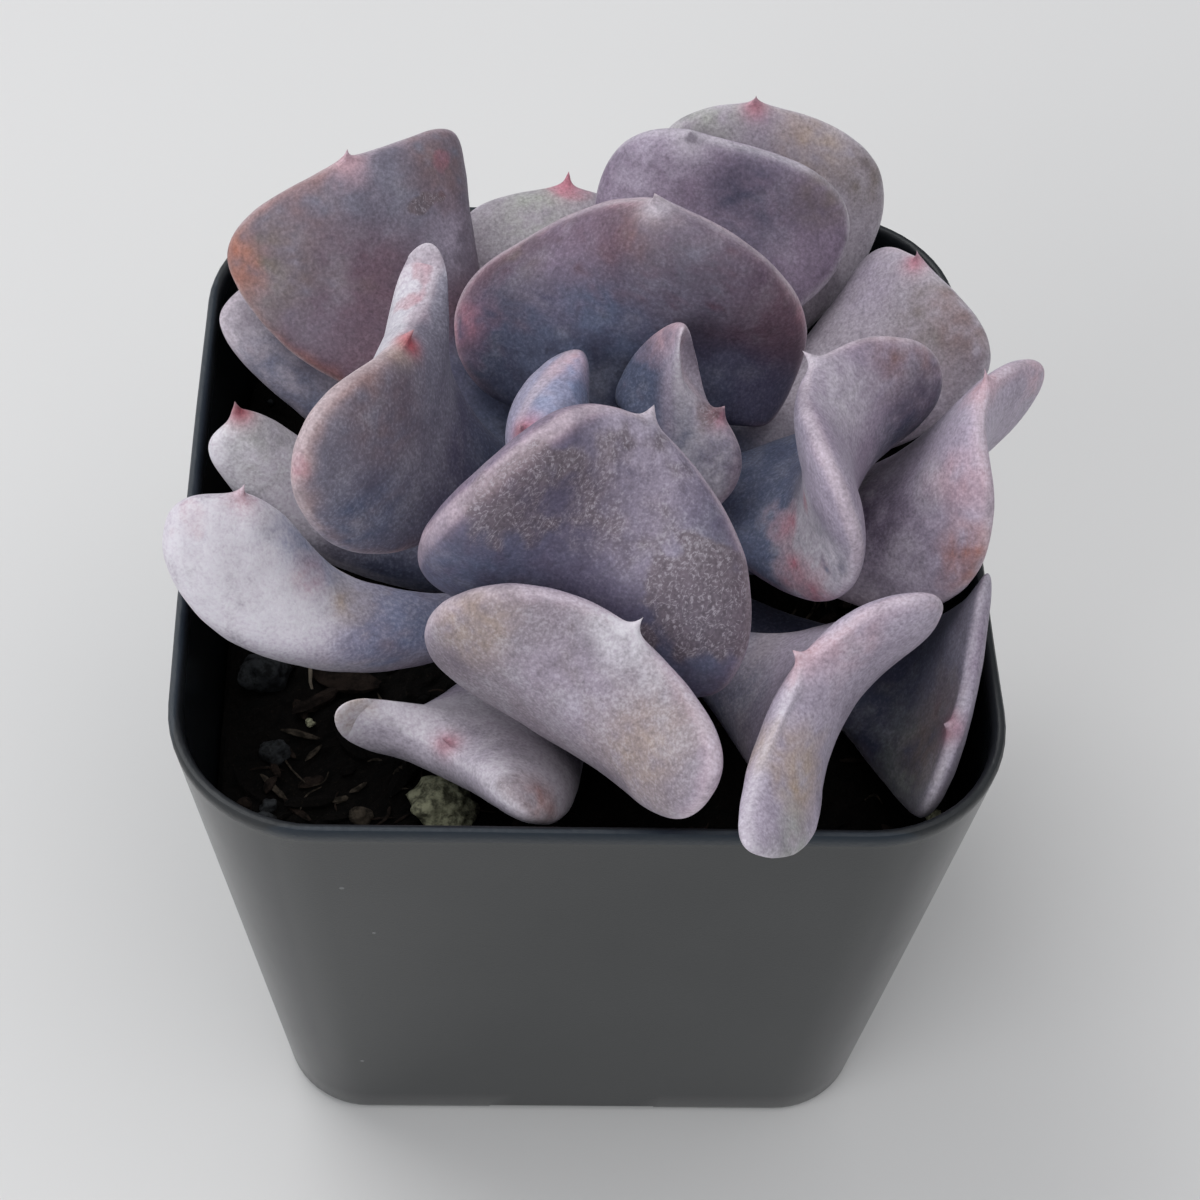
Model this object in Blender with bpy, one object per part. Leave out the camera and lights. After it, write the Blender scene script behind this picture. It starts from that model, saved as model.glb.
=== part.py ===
"""Potted echeveria with folded, ridge-backed leaves in a square nursery pot."""
import math
import random

import bmesh
import bpy
import numpy as np
from mathutils import Matrix, Vector
from mathutils.bvhtree import BVHTree

# sizes in metres
unit = 0.001
pot_top = 0.064
pot_foot = 0.052
pot_height = 0.058
pot_wall = 0.001
pot_floor = 0.0022
corner_top = 0.0115
corner_foot = 0.0075
notch_width = 0.015
notch_height = 0.001
notch_depth = 0.003
drain_radius = 0.0028
drain_offset = 0.0165
soil_top = 0.0455
fit_gap = 0.0003
stem_axis = (1.5, 0.0)
leaf_rings = 14
leaf_sides = 16
press_gap = 0.4
press_steps = 50

# every length of a leaf in millimetres, every angle in degrees
plain_leaf = dict(
    azimuth=0, root=54, sit=0, tip=(0, 0, 70), rise=20, end=80, heading=0, tilt=0,
    width=27, left=1.0, right=1.0, fold_left=45, fold_right=45, start=0.1, bend=0.5,
    thick=6.0, neck=2.8, neck_thick=3.6, flare=1.35, widest=0.62, blunt=2.2,
    pull_root=0.42, pull_tip=0.42, turn=1.0, reach=2.5, dip_left=0, dip_right=0, point=1.6,
)

# innermost first: each leaf makes way for the ones above it
leaf_table = dict(
    leaf_center_left=dict(
        azimuth=200, root=64.6, sit=1.5, tip=(-5.8, -4.9, 72.4), rise=60, end=51,
        heading=185, tilt=-17, width=15.1, left=0.93, fold_left=-14, fold_right=-20,
        thick=6, neck=3, neck_thick=2.4, widest=0.47, turn=0.35, reach=-0.1,
        right=1.01, flare=0.67, blunt=1.87, dip_left=1.3, dip_right=4.5),
    leaf_center_right=dict(
        azimuth=40, root=64.6, sit=1.5, tip=(10, 0.2, 69), rise=35, end=50, heading=46,
        tilt=17, width=17, fold_left=-15, fold_right=-15, thick=3.6, neck=3.5,
        neck_thick=2.4, widest=0.5, turn=0.35, reach=0),
    leaf_front_upper=dict(
        azimuth=-115, root=59, tip=(3.9, -7.3, 77.8), rise=12, end=128, heading=-105,
        tilt=-33, width=28.3, left=1.18, right=0.76, fold_left=19, fold_right=52,
        pull_root=0.84, pull_tip=0.7, reach=2.3, dip_left=1.7, dip_right=-2,
        blunt=1.77, flare=1.07, widest=0.54, thick=7.5),
    leaf_right_upper=dict(
        azimuth=-5, root=58, tip=(15.3, -0.1, 75.9), rise=5, end=125, heading=-34,
        tilt=-10, width=27.5, fold_left=40, fold_right=40, pull_root=0.6, pull_tip=0.6,
        flare=1.6, left=0.82, right=0.93, thick=4.8, widest=0.65, blunt=1.98,
        reach=2.1, dip_left=-0.8, dip_right=-1.9),
    leaf_left_upper=dict(
        azimuth=172, root=57.5, tip=(-13.8, 0.3, 77.1), rise=20, end=87, heading=164,
        width=30.4, left=0.93, right=0.78, fold_left=28, fold_right=2, reach=4.9,
        flare=3.09, tilt=26, thick=6.3, widest=0.78, blunt=2.37, dip_left=2.8,
        dip_right=-4.3),
    leaf_back_upper=dict(
        azimuth=90, root=61, tip=(4.3, 13.0, 79.0), rise=40, end=75, heading=52,
        width=29.1, left=0.96, right=1.05, fold_left=-13, fold_right=41, widest=0.56,
        reach=-3.1, blunt=2.49, tilt=-13, thick=6.9, flare=0.6, dip_left=4.6,
        dip_right=1.2),
    leaf_back_middle=dict(
        azimuth=68, root=58, tip=(7.8, 25.7, 73.4), rise=28, end=85, heading=78,
        width=26, left=0.57, right=1.15, fold_left=15, fold_right=13, widest=0.72,
        flare=3.53, tilt=4, thick=5.8, blunt=2.28, reach=2.1, dip_left=0.8,
        dip_right=2),
    leaf_front_middle=dict(
        azimuth=-92, root=53.6, tip=(3.2, -21.7, 71.4), rise=-5, end=108, heading=-123,
        tilt=-22, width=30.6, left=0.89, right=0.89, fold_left=32, fold_right=21,
        pull_root=0.65, pull_tip=0.5, flare=2.66, widest=0.72, turn=0.8, thick=6.4,
        blunt=2.2, reach=3, dip_left=-3.6, dip_right=2.7),
    leaf_back_left=dict(
        azimuth=135, root=54.3, tip=(-19.9, 22.8, 73.5), rise=15, end=59, heading=121,
        width=30.4, left=0.8, right=0.76, fold_left=23, fold_right=13, widest=0.88,
        flare=2.69, thick=5.8, tilt=4, blunt=2.46, reach=0.7, dip_left=3,
        dip_right=-2.4),
    leaf_left_outer=dict(
        azimuth=-138, root=51.8, tip=(-26.4, -7.9, 68.6), rise=0, end=65, heading=111,
        tilt=12, width=17.9, left=0.67, right=0.4, fold_left=19, fold_right=70,
        flare=2.55, widest=0.77, pull_root=0.5, pull_tip=0.4, dip_left=-8.3, neck=2.5,
        thick=6.4, blunt=2.11, reach=5.7, dip_right=2.3),
    leaf_right_outer=dict(
        azimuth=0, root=51, tip=(29.3, -0.1, 74.4), rise=12, end=84, heading=-32,
        tilt=-14, width=26, left=0.74, right=0.97, fold_left=22, fold_right=60,
        pull_root=0.35, flare=2.39, widest=0.79, thick=4.8, turn=0.5, blunt=2.27,
        reach=1.7, dip_left=-3.8, dip_right=6.2),
    leaf_front_right=dict(
        azimuth=-55, root=50.7, tip=(14.0, -23.2, 69.5), rise=6, end=98, heading=-41,
        tilt=28, width=33.1, right=0.98, fold_left=38, fold_right=34, pull_root=0.5,
        pull_tip=0.5, flare=4, widest=0.9, turn=0.35, dip_right=-8, left=0.68,
        thick=5.8, blunt=2.08, reach=2.5, dip_left=1.6),
    leaf_back_outer=dict(
        azimuth=64, root=51.6, tip=(13.6, 31.9, 71.7), rise=14, end=66, heading=85,
        width=23.9, left=0.68, fold_left=-8, fold_right=17, dip_left=0.9,
        pull_root=0.4, pull_tip=0.5, flare=3.93, widest=0.82, thick=5.5, tilt=1,
        right=1.09, blunt=2.11, reach=2.9, dip_right=3.9),
    leaf_back_right=dict(
        azimuth=31, root=54.5, tip=(26.4, 18.1, 68.0), rise=5, end=68, heading=31,
        width=24.1, left=0.6, right=0.84, fold_left=26, fold_right=24, flare=2.94,
        widest=0.84, thick=5.9, tilt=-11, blunt=2.05, reach=4, dip_left=3.5,
        dip_right=4.1),
    leaf_back_low=dict(
        azimuth=104, root=50.9, tip=(-1.8, 30.6, 63.6), rise=0, end=33, heading=92,
        width=28.1, left=0.69, right=0.42, fold_left=11, fold_right=21, flare=2.34,
        widest=0.84, thick=6, tilt=3, blunt=2.33, reach=2.3, dip_left=2.6,
        dip_right=0.1),
    leaf_left_back=dict(
        azimuth=150, root=50.8, tip=(-24.8, 21.9, 64.3), rise=0, end=54, heading=139,
        width=21, fold_left=1, fold_right=11, flare=2.76, widest=0.79, thick=5,
        tilt=-5, left=0.94, right=1.04, blunt=2.17, reach=6.1, dip_left=1.6,
        dip_right=1.4),
    leaf_front_low=dict(
        azimuth=-118, root=48.3, tip=(-11.5, -22.3, 56.5), rise=-3, end=55,
        heading=-132, width=19.3, left=1.02, fold_left=0, fold_right=-11,
        pull_root=0.4, pull_tip=0.35, flare=1.77, thick=6.4, neck_thick=3, tilt=17,
        right=0.88, widest=0.76, blunt=2.69, reach=7.5, dip_left=0.2, dip_right=-3.8),
    leaf_right_low=dict(
        azimuth=-25, root=47.7, tip=(26.3, -23.0, 59.9), rise=-3, end=89, heading=-22,
        tilt=26, width=19.9, left=1.33, fold_left=-12, fold_right=0, thick=3.7,
        flare=4.46, widest=0.9, neck=2.2, neck_thick=2.8, right=0.71, blunt=1.81,
        reach=3.9, dip_left=2.8, dip_right=1.1),
    leaf_left_low=dict(
        azimuth=180, root=48.2, tip=(-28.4, 4.7, 63.3), rise=-3, end=55, heading=149,
        width=10, right=0.44, fold_left=23, fold_right=26, thick=5.2, neck=2.2,
        neck_thick=2.8, tilt=-10, left=0.96, flare=1.05, widest=0.59, blunt=2.45,
        reach=3.8, dip_left=-2.9, dip_right=3.4),
    leaf_back_hidden=dict(
        azimuth=124, root=47.8, tip=(-14.0, 26.0, 52.5), rise=-5, end=20, heading=118,
        width=16, fold_left=5, fold_right=5, flare=2, thick=3.2, neck_thick=2.4,
        neck=2.2),
)


leaf_tones = dict(
    leaf_center_left=(0.40, 0.29, 0.36), leaf_center_right=(0.42, 0.31, 0.35),
    leaf_front_upper=(0.31, 0.26, 0.29), leaf_right_upper=(0.36, 0.29, 0.34),
    leaf_left_upper=(0.29, 0.20, 0.22), leaf_back_upper=(0.22, 0.17, 0.22),
    leaf_back_middle=(0.26, 0.21, 0.24), leaf_front_middle=(0.44, 0.37, 0.40),
    leaf_back_left=(0.29, 0.20, 0.23), leaf_left_outer=(0.42, 0.38, 0.43),
    leaf_right_outer=(0.36, 0.28, 0.33), leaf_front_right=(0.43, 0.36, 0.40),
    leaf_back_outer=(0.30, 0.25, 0.26), leaf_back_right=(0.33, 0.27, 0.30),
    leaf_back_low=(0.36, 0.33, 0.35), leaf_left_back=(0.33, 0.31, 0.37),
    leaf_front_low=(0.42, 0.36, 0.38), leaf_right_low=(0.27, 0.26, 0.27),
    leaf_left_low=(0.42, 0.38, 0.42), leaf_back_hidden=(0.30, 0.29, 0.33),
)


def clear_scene():
    for old in list(bpy.data.objects):
        bpy.data.objects.remove(old, do_unlink=True)


def smooth_step(x):
    x = np.clip(x, 0, 1)
    return x * x * (3 - 2 * x)


def length_one(v):
    return v / np.linalg.norm(v, axis=-1, keepdims=True)


def direction(azimuth, elevation):
    a, e = math.radians(azimuth), math.radians(elevation)
    return np.array([math.cos(e) * math.cos(a), math.cos(e) * math.sin(a), math.sin(e)])


def stem_radius(z):
    return 6.0 - 2.5 * min(max((z - 46) / 17, 0), 1)


def midrib(q, rings):
    """Points and directions along the leaf, and the frame its blade ends in."""
    az = math.radians(q["azimuth"])
    out = q["sit"] or stem_radius(q["root"])
    out += 0.45 + q["neck_thick"] / 2 * abs(math.sin(math.radians(q["rise"])))
    start = np.array([stem_axis[0] + out * math.cos(az),
                      stem_axis[1] + out * math.sin(az), q["root"]])
    head, lean, end = (math.radians(q[k]) for k in ("heading", "tilt", "end"))
    outward = np.array([math.cos(head), math.sin(head), 0])
    level = np.array([-math.sin(head), math.cos(head), 0])
    up = np.array([0, 0, 1.0])
    across = level * math.cos(lean) + up * math.sin(lean)
    upright = up * math.cos(lean) - level * math.sin(lean)
    last = outward * math.cos(end) + upright * math.sin(end)
    tip = np.array(q["tip"], float)
    finish = tip - (last * 0.75 + np.cross(last, across) * 0.6) * q["point"]
    chord = np.linalg.norm(finish - start)
    p1 = start + direction(q["azimuth"], q["rise"]) * q["pull_root"] * chord
    p2 = finish - last * q["pull_tip"] * chord
    t = np.linspace(0, 1, 121)[:, None]
    path = ((1 - t) ** 3 * start + 3 * t * (1 - t) ** 2 * p1
            + 3 * t * t * (1 - t) * p2 + t ** 3 * finish)
    slope = (3 * (1 - t) ** 2 * (p1 - start) + 6 * t * (1 - t) * (p2 - p1)
             + 3 * t * t * (finish - p2))
    run = np.concatenate([[0], np.cumsum(np.linalg.norm(np.diff(path, axis=0), axis=1))])
    run /= run[-1]
    s = 1 - (1 - np.linspace(0, 1, rings)) ** 1.7
    mid = np.stack([np.interp(s, run, path[:, k]) for k in range(3)], 1)
    along = length_one(np.stack([np.interp(s, run, slope[:, k]) for k in range(3)], 1))
    first_across = np.array([-math.sin(az), math.cos(az), 0])
    k = smooth_step(s / q["turn"])[:, None]
    wide = first_across * (1 - k) + across * k
    wide = length_one(wide - (wide * along).sum(1, keepdims=True) * along)
    return s, mid, along, wide, np.cross(along, wide), tip


def leaf_points(values, rings, sides):
    """Rings of points from the base to the end of the leaf, and its pointed tip."""
    q = dict(plain_leaf)
    q.update(values)
    s, mid, along, wide, face, tip = midrib(q, rings)
    half = q["width"] / 2
    rising = np.sin(math.pi / 2 * np.clip(s / q["widest"], 0, 1)) ** q["flare"]
    falling = np.clip((s - q["widest"]) / (1 - q["widest"]), 0, 1)
    w = q["neck"] + (half - q["neck"]) * rising
    w = np.where(s < q["widest"], w, half * np.sqrt(1 - falling ** q["blunt"]))
    w = np.maximum(w, 0.75)
    t = q["neck_thick"] + (q["thick"] - q["neck_thick"]) * smooth_step(s / 0.4)
    t = np.maximum(t * np.sqrt(1 - np.clip((s - 0.3) / 0.7, 0, 1) ** 5), 1.3)
    turn = np.linspace(0, 2 * math.pi, sides, endpoint=False)
    x, y = np.cos(turn), np.sin(turn)
    y = np.sign(y) * np.abs(y) ** 0.8
    is_left = x > -1e-9
    side = np.where(is_left, 1.0, -1.0)[None, :, None]
    u = np.abs(x)[None] * w[:, None] * np.where(is_left, q["left"], q["right"])[None]
    fold = np.radians(np.where(is_left, q["fold_left"], q["fold_right"]))[None]
    fold = fold * smooth_step((s - q["start"]) / 0.6)[:, None]
    bend = q["bend"] * half
    steps, weights = np.polynomial.legendre.leggauss(7)
    sweep = u * 0
    drop = u * 0
    for g, wt in zip((steps + 1) / 2, weights / 2):
        angle = fold * smooth_step(u * g / bend)
        sweep += wt * u * np.cos(angle)
        drop += wt * u * np.sin(angle)
    angle = (fold * smooth_step(u / bend))[..., None]
    dip = np.where(is_left, q["dip_left"], q["dip_right"])[None]
    lead = (q["reach"] - dip) * (u / half) ** 2
    outer = face[:, None] * np.cos(angle) + wide[:, None] * side * np.sin(angle)
    points = (mid[:, None] + wide[:, None] * side * sweep[..., None]
              - face[:, None] * drop[..., None] + along[:, None] * lead[..., None]
              + outer * (y[None] * t[:, None] / 2)[..., None])
    flat = points.reshape(-1, 3)
    return np.concatenate([flat, points[0].mean(0)[None], tip[None]])


def leaf_faces(rings, sides):
    faces = []
    base, tip = rings * sides, rings * sides + 1
    for r in range(rings - 1):
        for c in range(sides):
            d = (c + 1) % sides
            a, b = r * sides + c, (r + 1) * sides + c
            a2, b2 = r * sides + d, (r + 1) * sides + d
            if c < sides // 2:
                faces += [(a, a2, b2), (a, b2, b)]
            else:
                faces += [(a, a2, b), (a2, b2, b)]
    for c in range(sides):
        d = (c + 1) % sides
        faces.append((d, c, base))
        last = (rings - 1) * sides
        faces.append((last + c, last + d, tip))
    return faces


def is_inside(tree, point):
    ray = Vector((0.31, 0.17, 0.93)).normalized()
    count = 0
    spot = tree.ray_cast(point, ray)[0]
    while spot is not None:
        count += 1
        spot = tree.ray_cast(spot + ray * 0.0001, ray)[0]
    return count % 2 == 1


def clearance(tree, point, gap):
    """How far, and which way, a point must move to stand clear of a solid."""
    point = Vector(point)
    spot, normal, index, dist = tree.find_nearest(point, 3.0)
    if spot is None or dist < 1e-5:
        return None
    away = (point - spot) / dist
    if away.dot(normal) < 0 and is_inside(tree, point):
        return np.array(away) * -(gap + dist), index
    if dist < gap:
        return np.array(away) * (gap - dist), index
    return None


def wall_push(p, gap):
    """The way back inside the pot's wall, or up over its rim."""
    top = pot_height / unit + gap + 0.5
    if p[2] > top:
        return None
    side, corner = (v / unit for v in side_at(p[2] * unit, pot_wall))
    half = side / 2 - gap - (0.7 if p[0] > 0 else 0)
    x, y = abs(p[0]) - half + corner, abs(p[1]) - half + corner
    if x > 0 and y > 0:
        over = math.hypot(x, y) - corner
        out = np.array([math.copysign(x, p[0]), math.copysign(y, p[1]), 0])
    elif x > y:
        over = x - corner
        out = np.array([math.copysign(1, p[0]), 0, 0])
    else:
        over = y - corner
        out = np.array([0, math.copysign(1, p[1]), 0])
    if over <= 0:
        return None
    lift = top - p[2]
    if lift < 1.2 * over or lift < 1.0:
        return np.array([0, 0, lift])
    return -out / np.linalg.norm(out) * over


def press_clear(points, faces, rings, sides, others, gap):
    """Lean a leaf away from the solids already in place; its base stays put."""
    start = points
    points = points.copy()
    row = np.clip(np.arange(rings) - 0.5, 0, 1)
    hold = np.concatenate([np.repeat(row, sides), [0, 1]])
    corner_ids = np.array(faces)
    face_hold = hold[corner_ids].mean(1)
    mirror = np.arange(len(points))
    for r in range(rings):
        for c in range(sides):
            mirror[r * sides + c] = r * sides + (sides - c) % sides
    for step in range(press_steps):
        low, high = points.min(0) - 1, points.max(0) + 1
        near = [o for o in others if np.all(o["low"] < high) and np.all(o["high"] > low)]
        own = BVHTree.FromPolygons([tuple(p) for p in points], faces)
        centres = points[corner_ids].mean(1)
        pushes = []
        for i in np.nonzero(hold > 0)[0]:
            back = wall_push(points[i], gap)
            if back is not None:
                pushes.append(([i], back))
        for f, centre in enumerate(centres):
            back = wall_push(centre, gap)
            if back is not None and face_hold[f] > 0.3:
                pushes.append((faces[f], back))
        for other in near:
            if not other["marks_only"]:
                for i in np.nonzero(within(points, other) & (hold > 0))[0]:
                    found = clearance(other["tree"], points[i], gap * hold[i])
                    if found:
                        pushes.append(([i], found[0]))
                for f in np.nonzero(within(centres, other) & (face_hold > 0.3))[0]:
                    found = clearance(other["tree"], centres[f], gap * face_hold[f])
                    if found:
                        pushes.append((faces[f], found[0]))
            marks = other["marks"]
            for p in marks[np.all((marks > low) & (marks < high), axis=1)]:
                found = clearance(own, p, gap)
                if found and face_hold[found[1]] > 0.3:
                    pushes.append((faces[found[1]], -found[0]))
        if not pushes:
            break
        push = np.zeros_like(points)
        for ids, move in pushes:
            for i in ids:
                if np.linalg.norm(move) > np.linalg.norm(push[i]):
                    push[i] = move
        across = push[mirror] * 0.8
        swap = np.linalg.norm(across, axis=1) > np.linalg.norm(push, axis=1)
        push[swap] = across[swap]
        grid = push[:-2].reshape(rings, sides, 3)
        before = np.concatenate([grid[:1], grid[:-1]])
        after = np.concatenate([grid[1:], grid[-1:]])
        wider = (np.roll(grid, 1, 1) + np.roll(grid, -1, 1) + before + after) / 4
        keep = np.linalg.norm(wider, axis=2) > np.linalg.norm(grid, axis=2)
        grid[keep] = wider[keep]
        push[:-2] = grid.reshape(-1, 3)
        push[-1] = grid[-1].mean(0)
        points += push * hold[:, None] * 0.7
    moved = np.linalg.norm(points - start, axis=1).max()
    print("   %d steps, %d left, moved %.1f mm" % (step, len(pushes), moved))
    return points


def within(points, other):
    return np.all((points > other["low"]) & (points < other["high"]), axis=1)


def material(name, colour, rough, metal=0.0):
    mat = bpy.data.materials.new(name)
    mat.use_nodes = True
    shader = mat.node_tree.nodes["Principled BSDF"]
    shader.inputs["Base Color"].default_value = (*colour, 1)
    shader.inputs["Roughness"].default_value = rough
    shader.inputs["Metallic"].default_value = metal
    return mat


def add_object(name, points, faces, mat, scale=unit, smooth=True):
    mesh = bpy.data.meshes.new(name)
    mesh.from_pydata([tuple(Vector(p) * scale) for p in points], [], faces)
    mesh.materials.append(mat)
    mesh.polygons.foreach_set("use_smooth", [smooth] * len(mesh.polygons))
    mesh.update()
    obj = bpy.data.objects.new(name, mesh)
    bpy.context.collection.objects.link(obj)
    return obj


def ring(side, radius, z, arc=6, straight=4):
    """A rounded square, counter-clockwise from the middle of the right side."""
    h = side / 2
    points = []
    for k in range(4):
        for i in range(arc + 1):
            a = math.pi / 2 * i / arc
            corner = Vector((h - radius + radius * math.cos(a),
                             h - radius + radius * math.sin(a), 0))
            points.append(Matrix.Rotation(k * math.pi / 2, 3, "Z") @ corner)
        for i in range(1, straight):
            u = (h - radius) * (1 - 2 * i / straight)
            points.append(Matrix.Rotation(k * math.pi / 2, 3, "Z") @ Vector((u, h, 0)))
    for p in points:
        p.z = z
        share = max(math.cos(math.pi * p.y / side), 0) * (z / pot_height) ** 2
        if p.x > 0.4 * side:
            p.x -= 0.00075 * share
        if p.x < -0.4 * side:
            p.x -= 0.00035 * share
    return points


def side_at(z, inset=0.0):
    share = z / pot_height
    side = pot_foot + (pot_top - pot_foot) * share
    corner = corner_foot + (corner_top - corner_foot) * share
    return side - 2 * inset, corner - inset


def skin(rings_list, close=True):
    points = [p for loop in rings_list for p in loop]
    n = len(rings_list[0])
    faces = []
    for r in range(len(rings_list) - 1):
        for c in range(n):
            d = (c + 1) % n
            a, a2, b, b2 = r * n + c, r * n + d, (r + 1) * n + c, (r + 1) * n + d
            faces += [(a, a2, b2), (a, b2, b)]
    if close:
        for loop, order in ((0, -1), (len(rings_list) - 1, 1)):
            centre = sum(rings_list[loop], Vector()) / n
            points.append(centre)
            for c in range(n):
                pair = (loop * n + c, loop * n + (c + 1) % n)
                faces.append((*pair[::order], len(points) - 1))
    return points, faces


def box(name, size, spot, angle=0.0):
    mesh = bmesh.new()
    bmesh.ops.create_cube(mesh, size=1.0)
    move = Matrix.Translation(spot) @ Matrix.Rotation(angle, 4, "Z")
    bmesh.ops.transform(mesh, matrix=move @ Matrix.Diagonal((*size, 1)), verts=mesh.verts)
    return finish_cutter(name, mesh)


def drum(name, radius, depth, spot, sides=16):
    mesh = bmesh.new()
    bmesh.ops.create_cone(mesh, cap_ends=True, segments=sides, radius1=radius,
                          radius2=radius, depth=depth)
    bmesh.ops.transform(mesh, matrix=Matrix.Translation(spot), verts=mesh.verts)
    return finish_cutter(name, mesh)


def finish_cutter(name, mesh):
    data = bpy.data.meshes.new(name)
    mesh.to_mesh(data)
    mesh.free()
    obj = bpy.data.objects.new(name, data)
    bpy.context.collection.objects.link(obj)
    obj.hide_render = True
    obj.display_type = "WIRE"
    return obj


def apply_boolean(target, tool, operation):
    mod = target.modifiers.new(operation.lower(), "BOOLEAN")
    mod.solver = "EXACT"
    mod.operation = operation
    mod.object = tool
    bpy.context.view_layer.objects.active = target
    bpy.ops.object.modifier_apply(modifier=mod.name)
    bpy.data.objects.remove(tool, do_unlink=True)


def make_pot(mat):
    outer = [ring(*side_at(z), z) for z in (0.0, 0.02, 0.04, 0.052, pot_height)]
    inner = [ring(*side_at(z, pot_wall), z) for z in (pot_height, 0.052, 0.04, 0.02, pot_floor)]
    points, faces = skin(outer + inner)
    pot = add_object("pot", points, faces, mat, scale=1.0)
    for k in range(4):
        turn = Matrix.Rotation(k * math.pi / 2, 3, "Z")
        spot = turn @ Vector((pot_foot / 2, 0, 0))
        cut = box("notch", (2 * notch_depth, notch_width, 2 * notch_height), spot,
                  k * math.pi / 2)
        apply_boolean(pot, cut, "DIFFERENCE")
        spot = turn @ Vector((drain_offset, drain_offset, 0))
        apply_boolean(pot, drum("drain", drain_radius, 0.01, spot), "DIFFERENCE")
    return pot


def soil_height(x, y):
    """Millimetres: peat lumps that settle lower along the wall."""
    lumps = (0.35 * math.sin(0.55 * x + 1.3) * math.cos(0.47 * y - 0.4)
             + 0.22 * math.sin(1.3 * x - 0.8 * y) + 0.16 * math.cos(1.9 * y + 0.7 * x))
    return 45.15 + lumps * 0.7


def make_soil(mat):
    gap = pot_wall + fit_gap
    levels = [ring(*side_at(z, gap), z) for z in (pot_floor + fit_gap, 0.02, 0.04, 0.0448)]
    side, corner = side_at(0.0452, gap)
    for share in (0.96, 0.86, 0.75, 0.64, 0.53, 0.42, 0.31):
        loop = ring(side * share, corner * share, 0.0448)
        for p in loop:
            p.z = soil_height(p.x / unit, p.y / unit) * unit
        levels.append(loop)
    points, faces = skin(levels)
    soil = add_object("soil", points, faces, mat, scale=1.0, smooth=False)
    bore = drum("bore", 0.0063 + fit_gap, 0.024,
                Vector((stem_axis[0] * unit, 0, 0.0455)), 24)
    apply_boolean(soil, bore, "DIFFERENCE")
    rule = random.Random(7)
    spots = [(-22, -12), (-25, -17), (-19, -16), (-14.5, -19), (-22, -21.5), (-17, -24.5),
             (-10, -25.5), (-25.5, -24), (-13, -27), (-6.5, -27), (22, -26.5), (24.8, -24.6)]
    for k, (x, y) in enumerate(spots):
        z = soil_height(x, y) * unit
        if k in (1, 7, 9):
            bit = bmesh.new()
            bmesh.ops.create_icosphere(bit, subdivisions=1, radius=1.0)
            size = Vector((0.0014, 0.0011, 0.0010)) * rule.uniform(0.85, 1.15)
            move = Matrix.Translation((x * unit, y * unit, z + 0.0004))
        else:
            bit = bmesh.new()
            bmesh.ops.create_cube(bit, size=1.0)
            size = Vector((rule.uniform(0.004, 0.006), rule.uniform(0.0012, 0.0018), 0.0011))
            move = (Matrix.Translation((x * unit, y * unit, z + 0.00025))
                    @ Matrix.Rotation(rule.uniform(0, 3.1), 4, "Z")
                    @ Matrix.Rotation(rule.uniform(-0.12, 0.12), 4, "Y"))
        bmesh.ops.transform(bit, matrix=move @ Matrix.Diagonal((*size, 1)), verts=bit.verts)
        apply_boolean(soil, finish_cutter("bit", bit), "UNION")
    return soil


def make_stem(mat):
    heights = (35, 40, 46, 49, 52, 55, 58, 61, 62.6, 63.2, 65.2)
    radii = (4.0, 5.4, 6.0, None, None, None, None, None, 3.2, 1.6, 0.7)
    loops = []
    for z, r in zip(heights, radii):
        r = r or stem_radius(z) - 0.05
        loops.append([Vector((stem_axis[0] + r * math.cos(a), stem_axis[1] + r * math.sin(a), z))
                      for a in (2 * math.pi * k / 20 for k in range(20))])
    points, faces = skin(loops)
    return add_object("stem", points, faces, mat)


def solid_of(obj, marks_only=False):
    """The mesh as an obstacle, in millimetres."""
    mesh = obj.data
    mesh.calc_loop_triangles()
    points = np.array([v.co for v in mesh.vertices]) / unit
    faces = [tuple(t.vertices) for t in mesh.loop_triangles]
    return obstacle(points, faces, marks_only)


def obstacle(points, faces, marks_only=False):
    centres = points[np.array(faces)].mean(1)
    return dict(tree=BVHTree.FromPolygons([tuple(p) for p in points], faces),
                low=points.min(0) - 0.5, high=points.max(0) + 0.5,
                marks=np.concatenate([points, centres]), marks_only=marks_only)


clear_scene()
pot_mat = material("pot_plastic", (0.035, 0.037, 0.04), 0.42)
soil_mat = material("peat", (0.03, 0.022, 0.016), 0.95)
stem_mat = material("stem_skin", (0.30, 0.24, 0.20), 0.7)

pot = make_pot(pot_mat)
soil = make_soil(soil_mat)
stem = make_stem(stem_mat)

placed = [solid_of(soil), solid_of(pot, True)]
faces = leaf_faces(leaf_rings, leaf_sides)
for name, values in leaf_table.items():
    print(name)
    points = leaf_points(values, leaf_rings, leaf_sides)
    points = press_clear(points, faces, leaf_rings, leaf_sides, placed, press_gap)
    add_object(name, points, faces, material(name, leaf_tones[name], 0.62))
    placed.append(obstacle(points, faces))
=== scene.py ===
import math
import random

import bmesh
import bpy
import numpy as np
from mathutils import Matrix, Vector, noise
from mathutils.kdtree import KDTree


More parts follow.
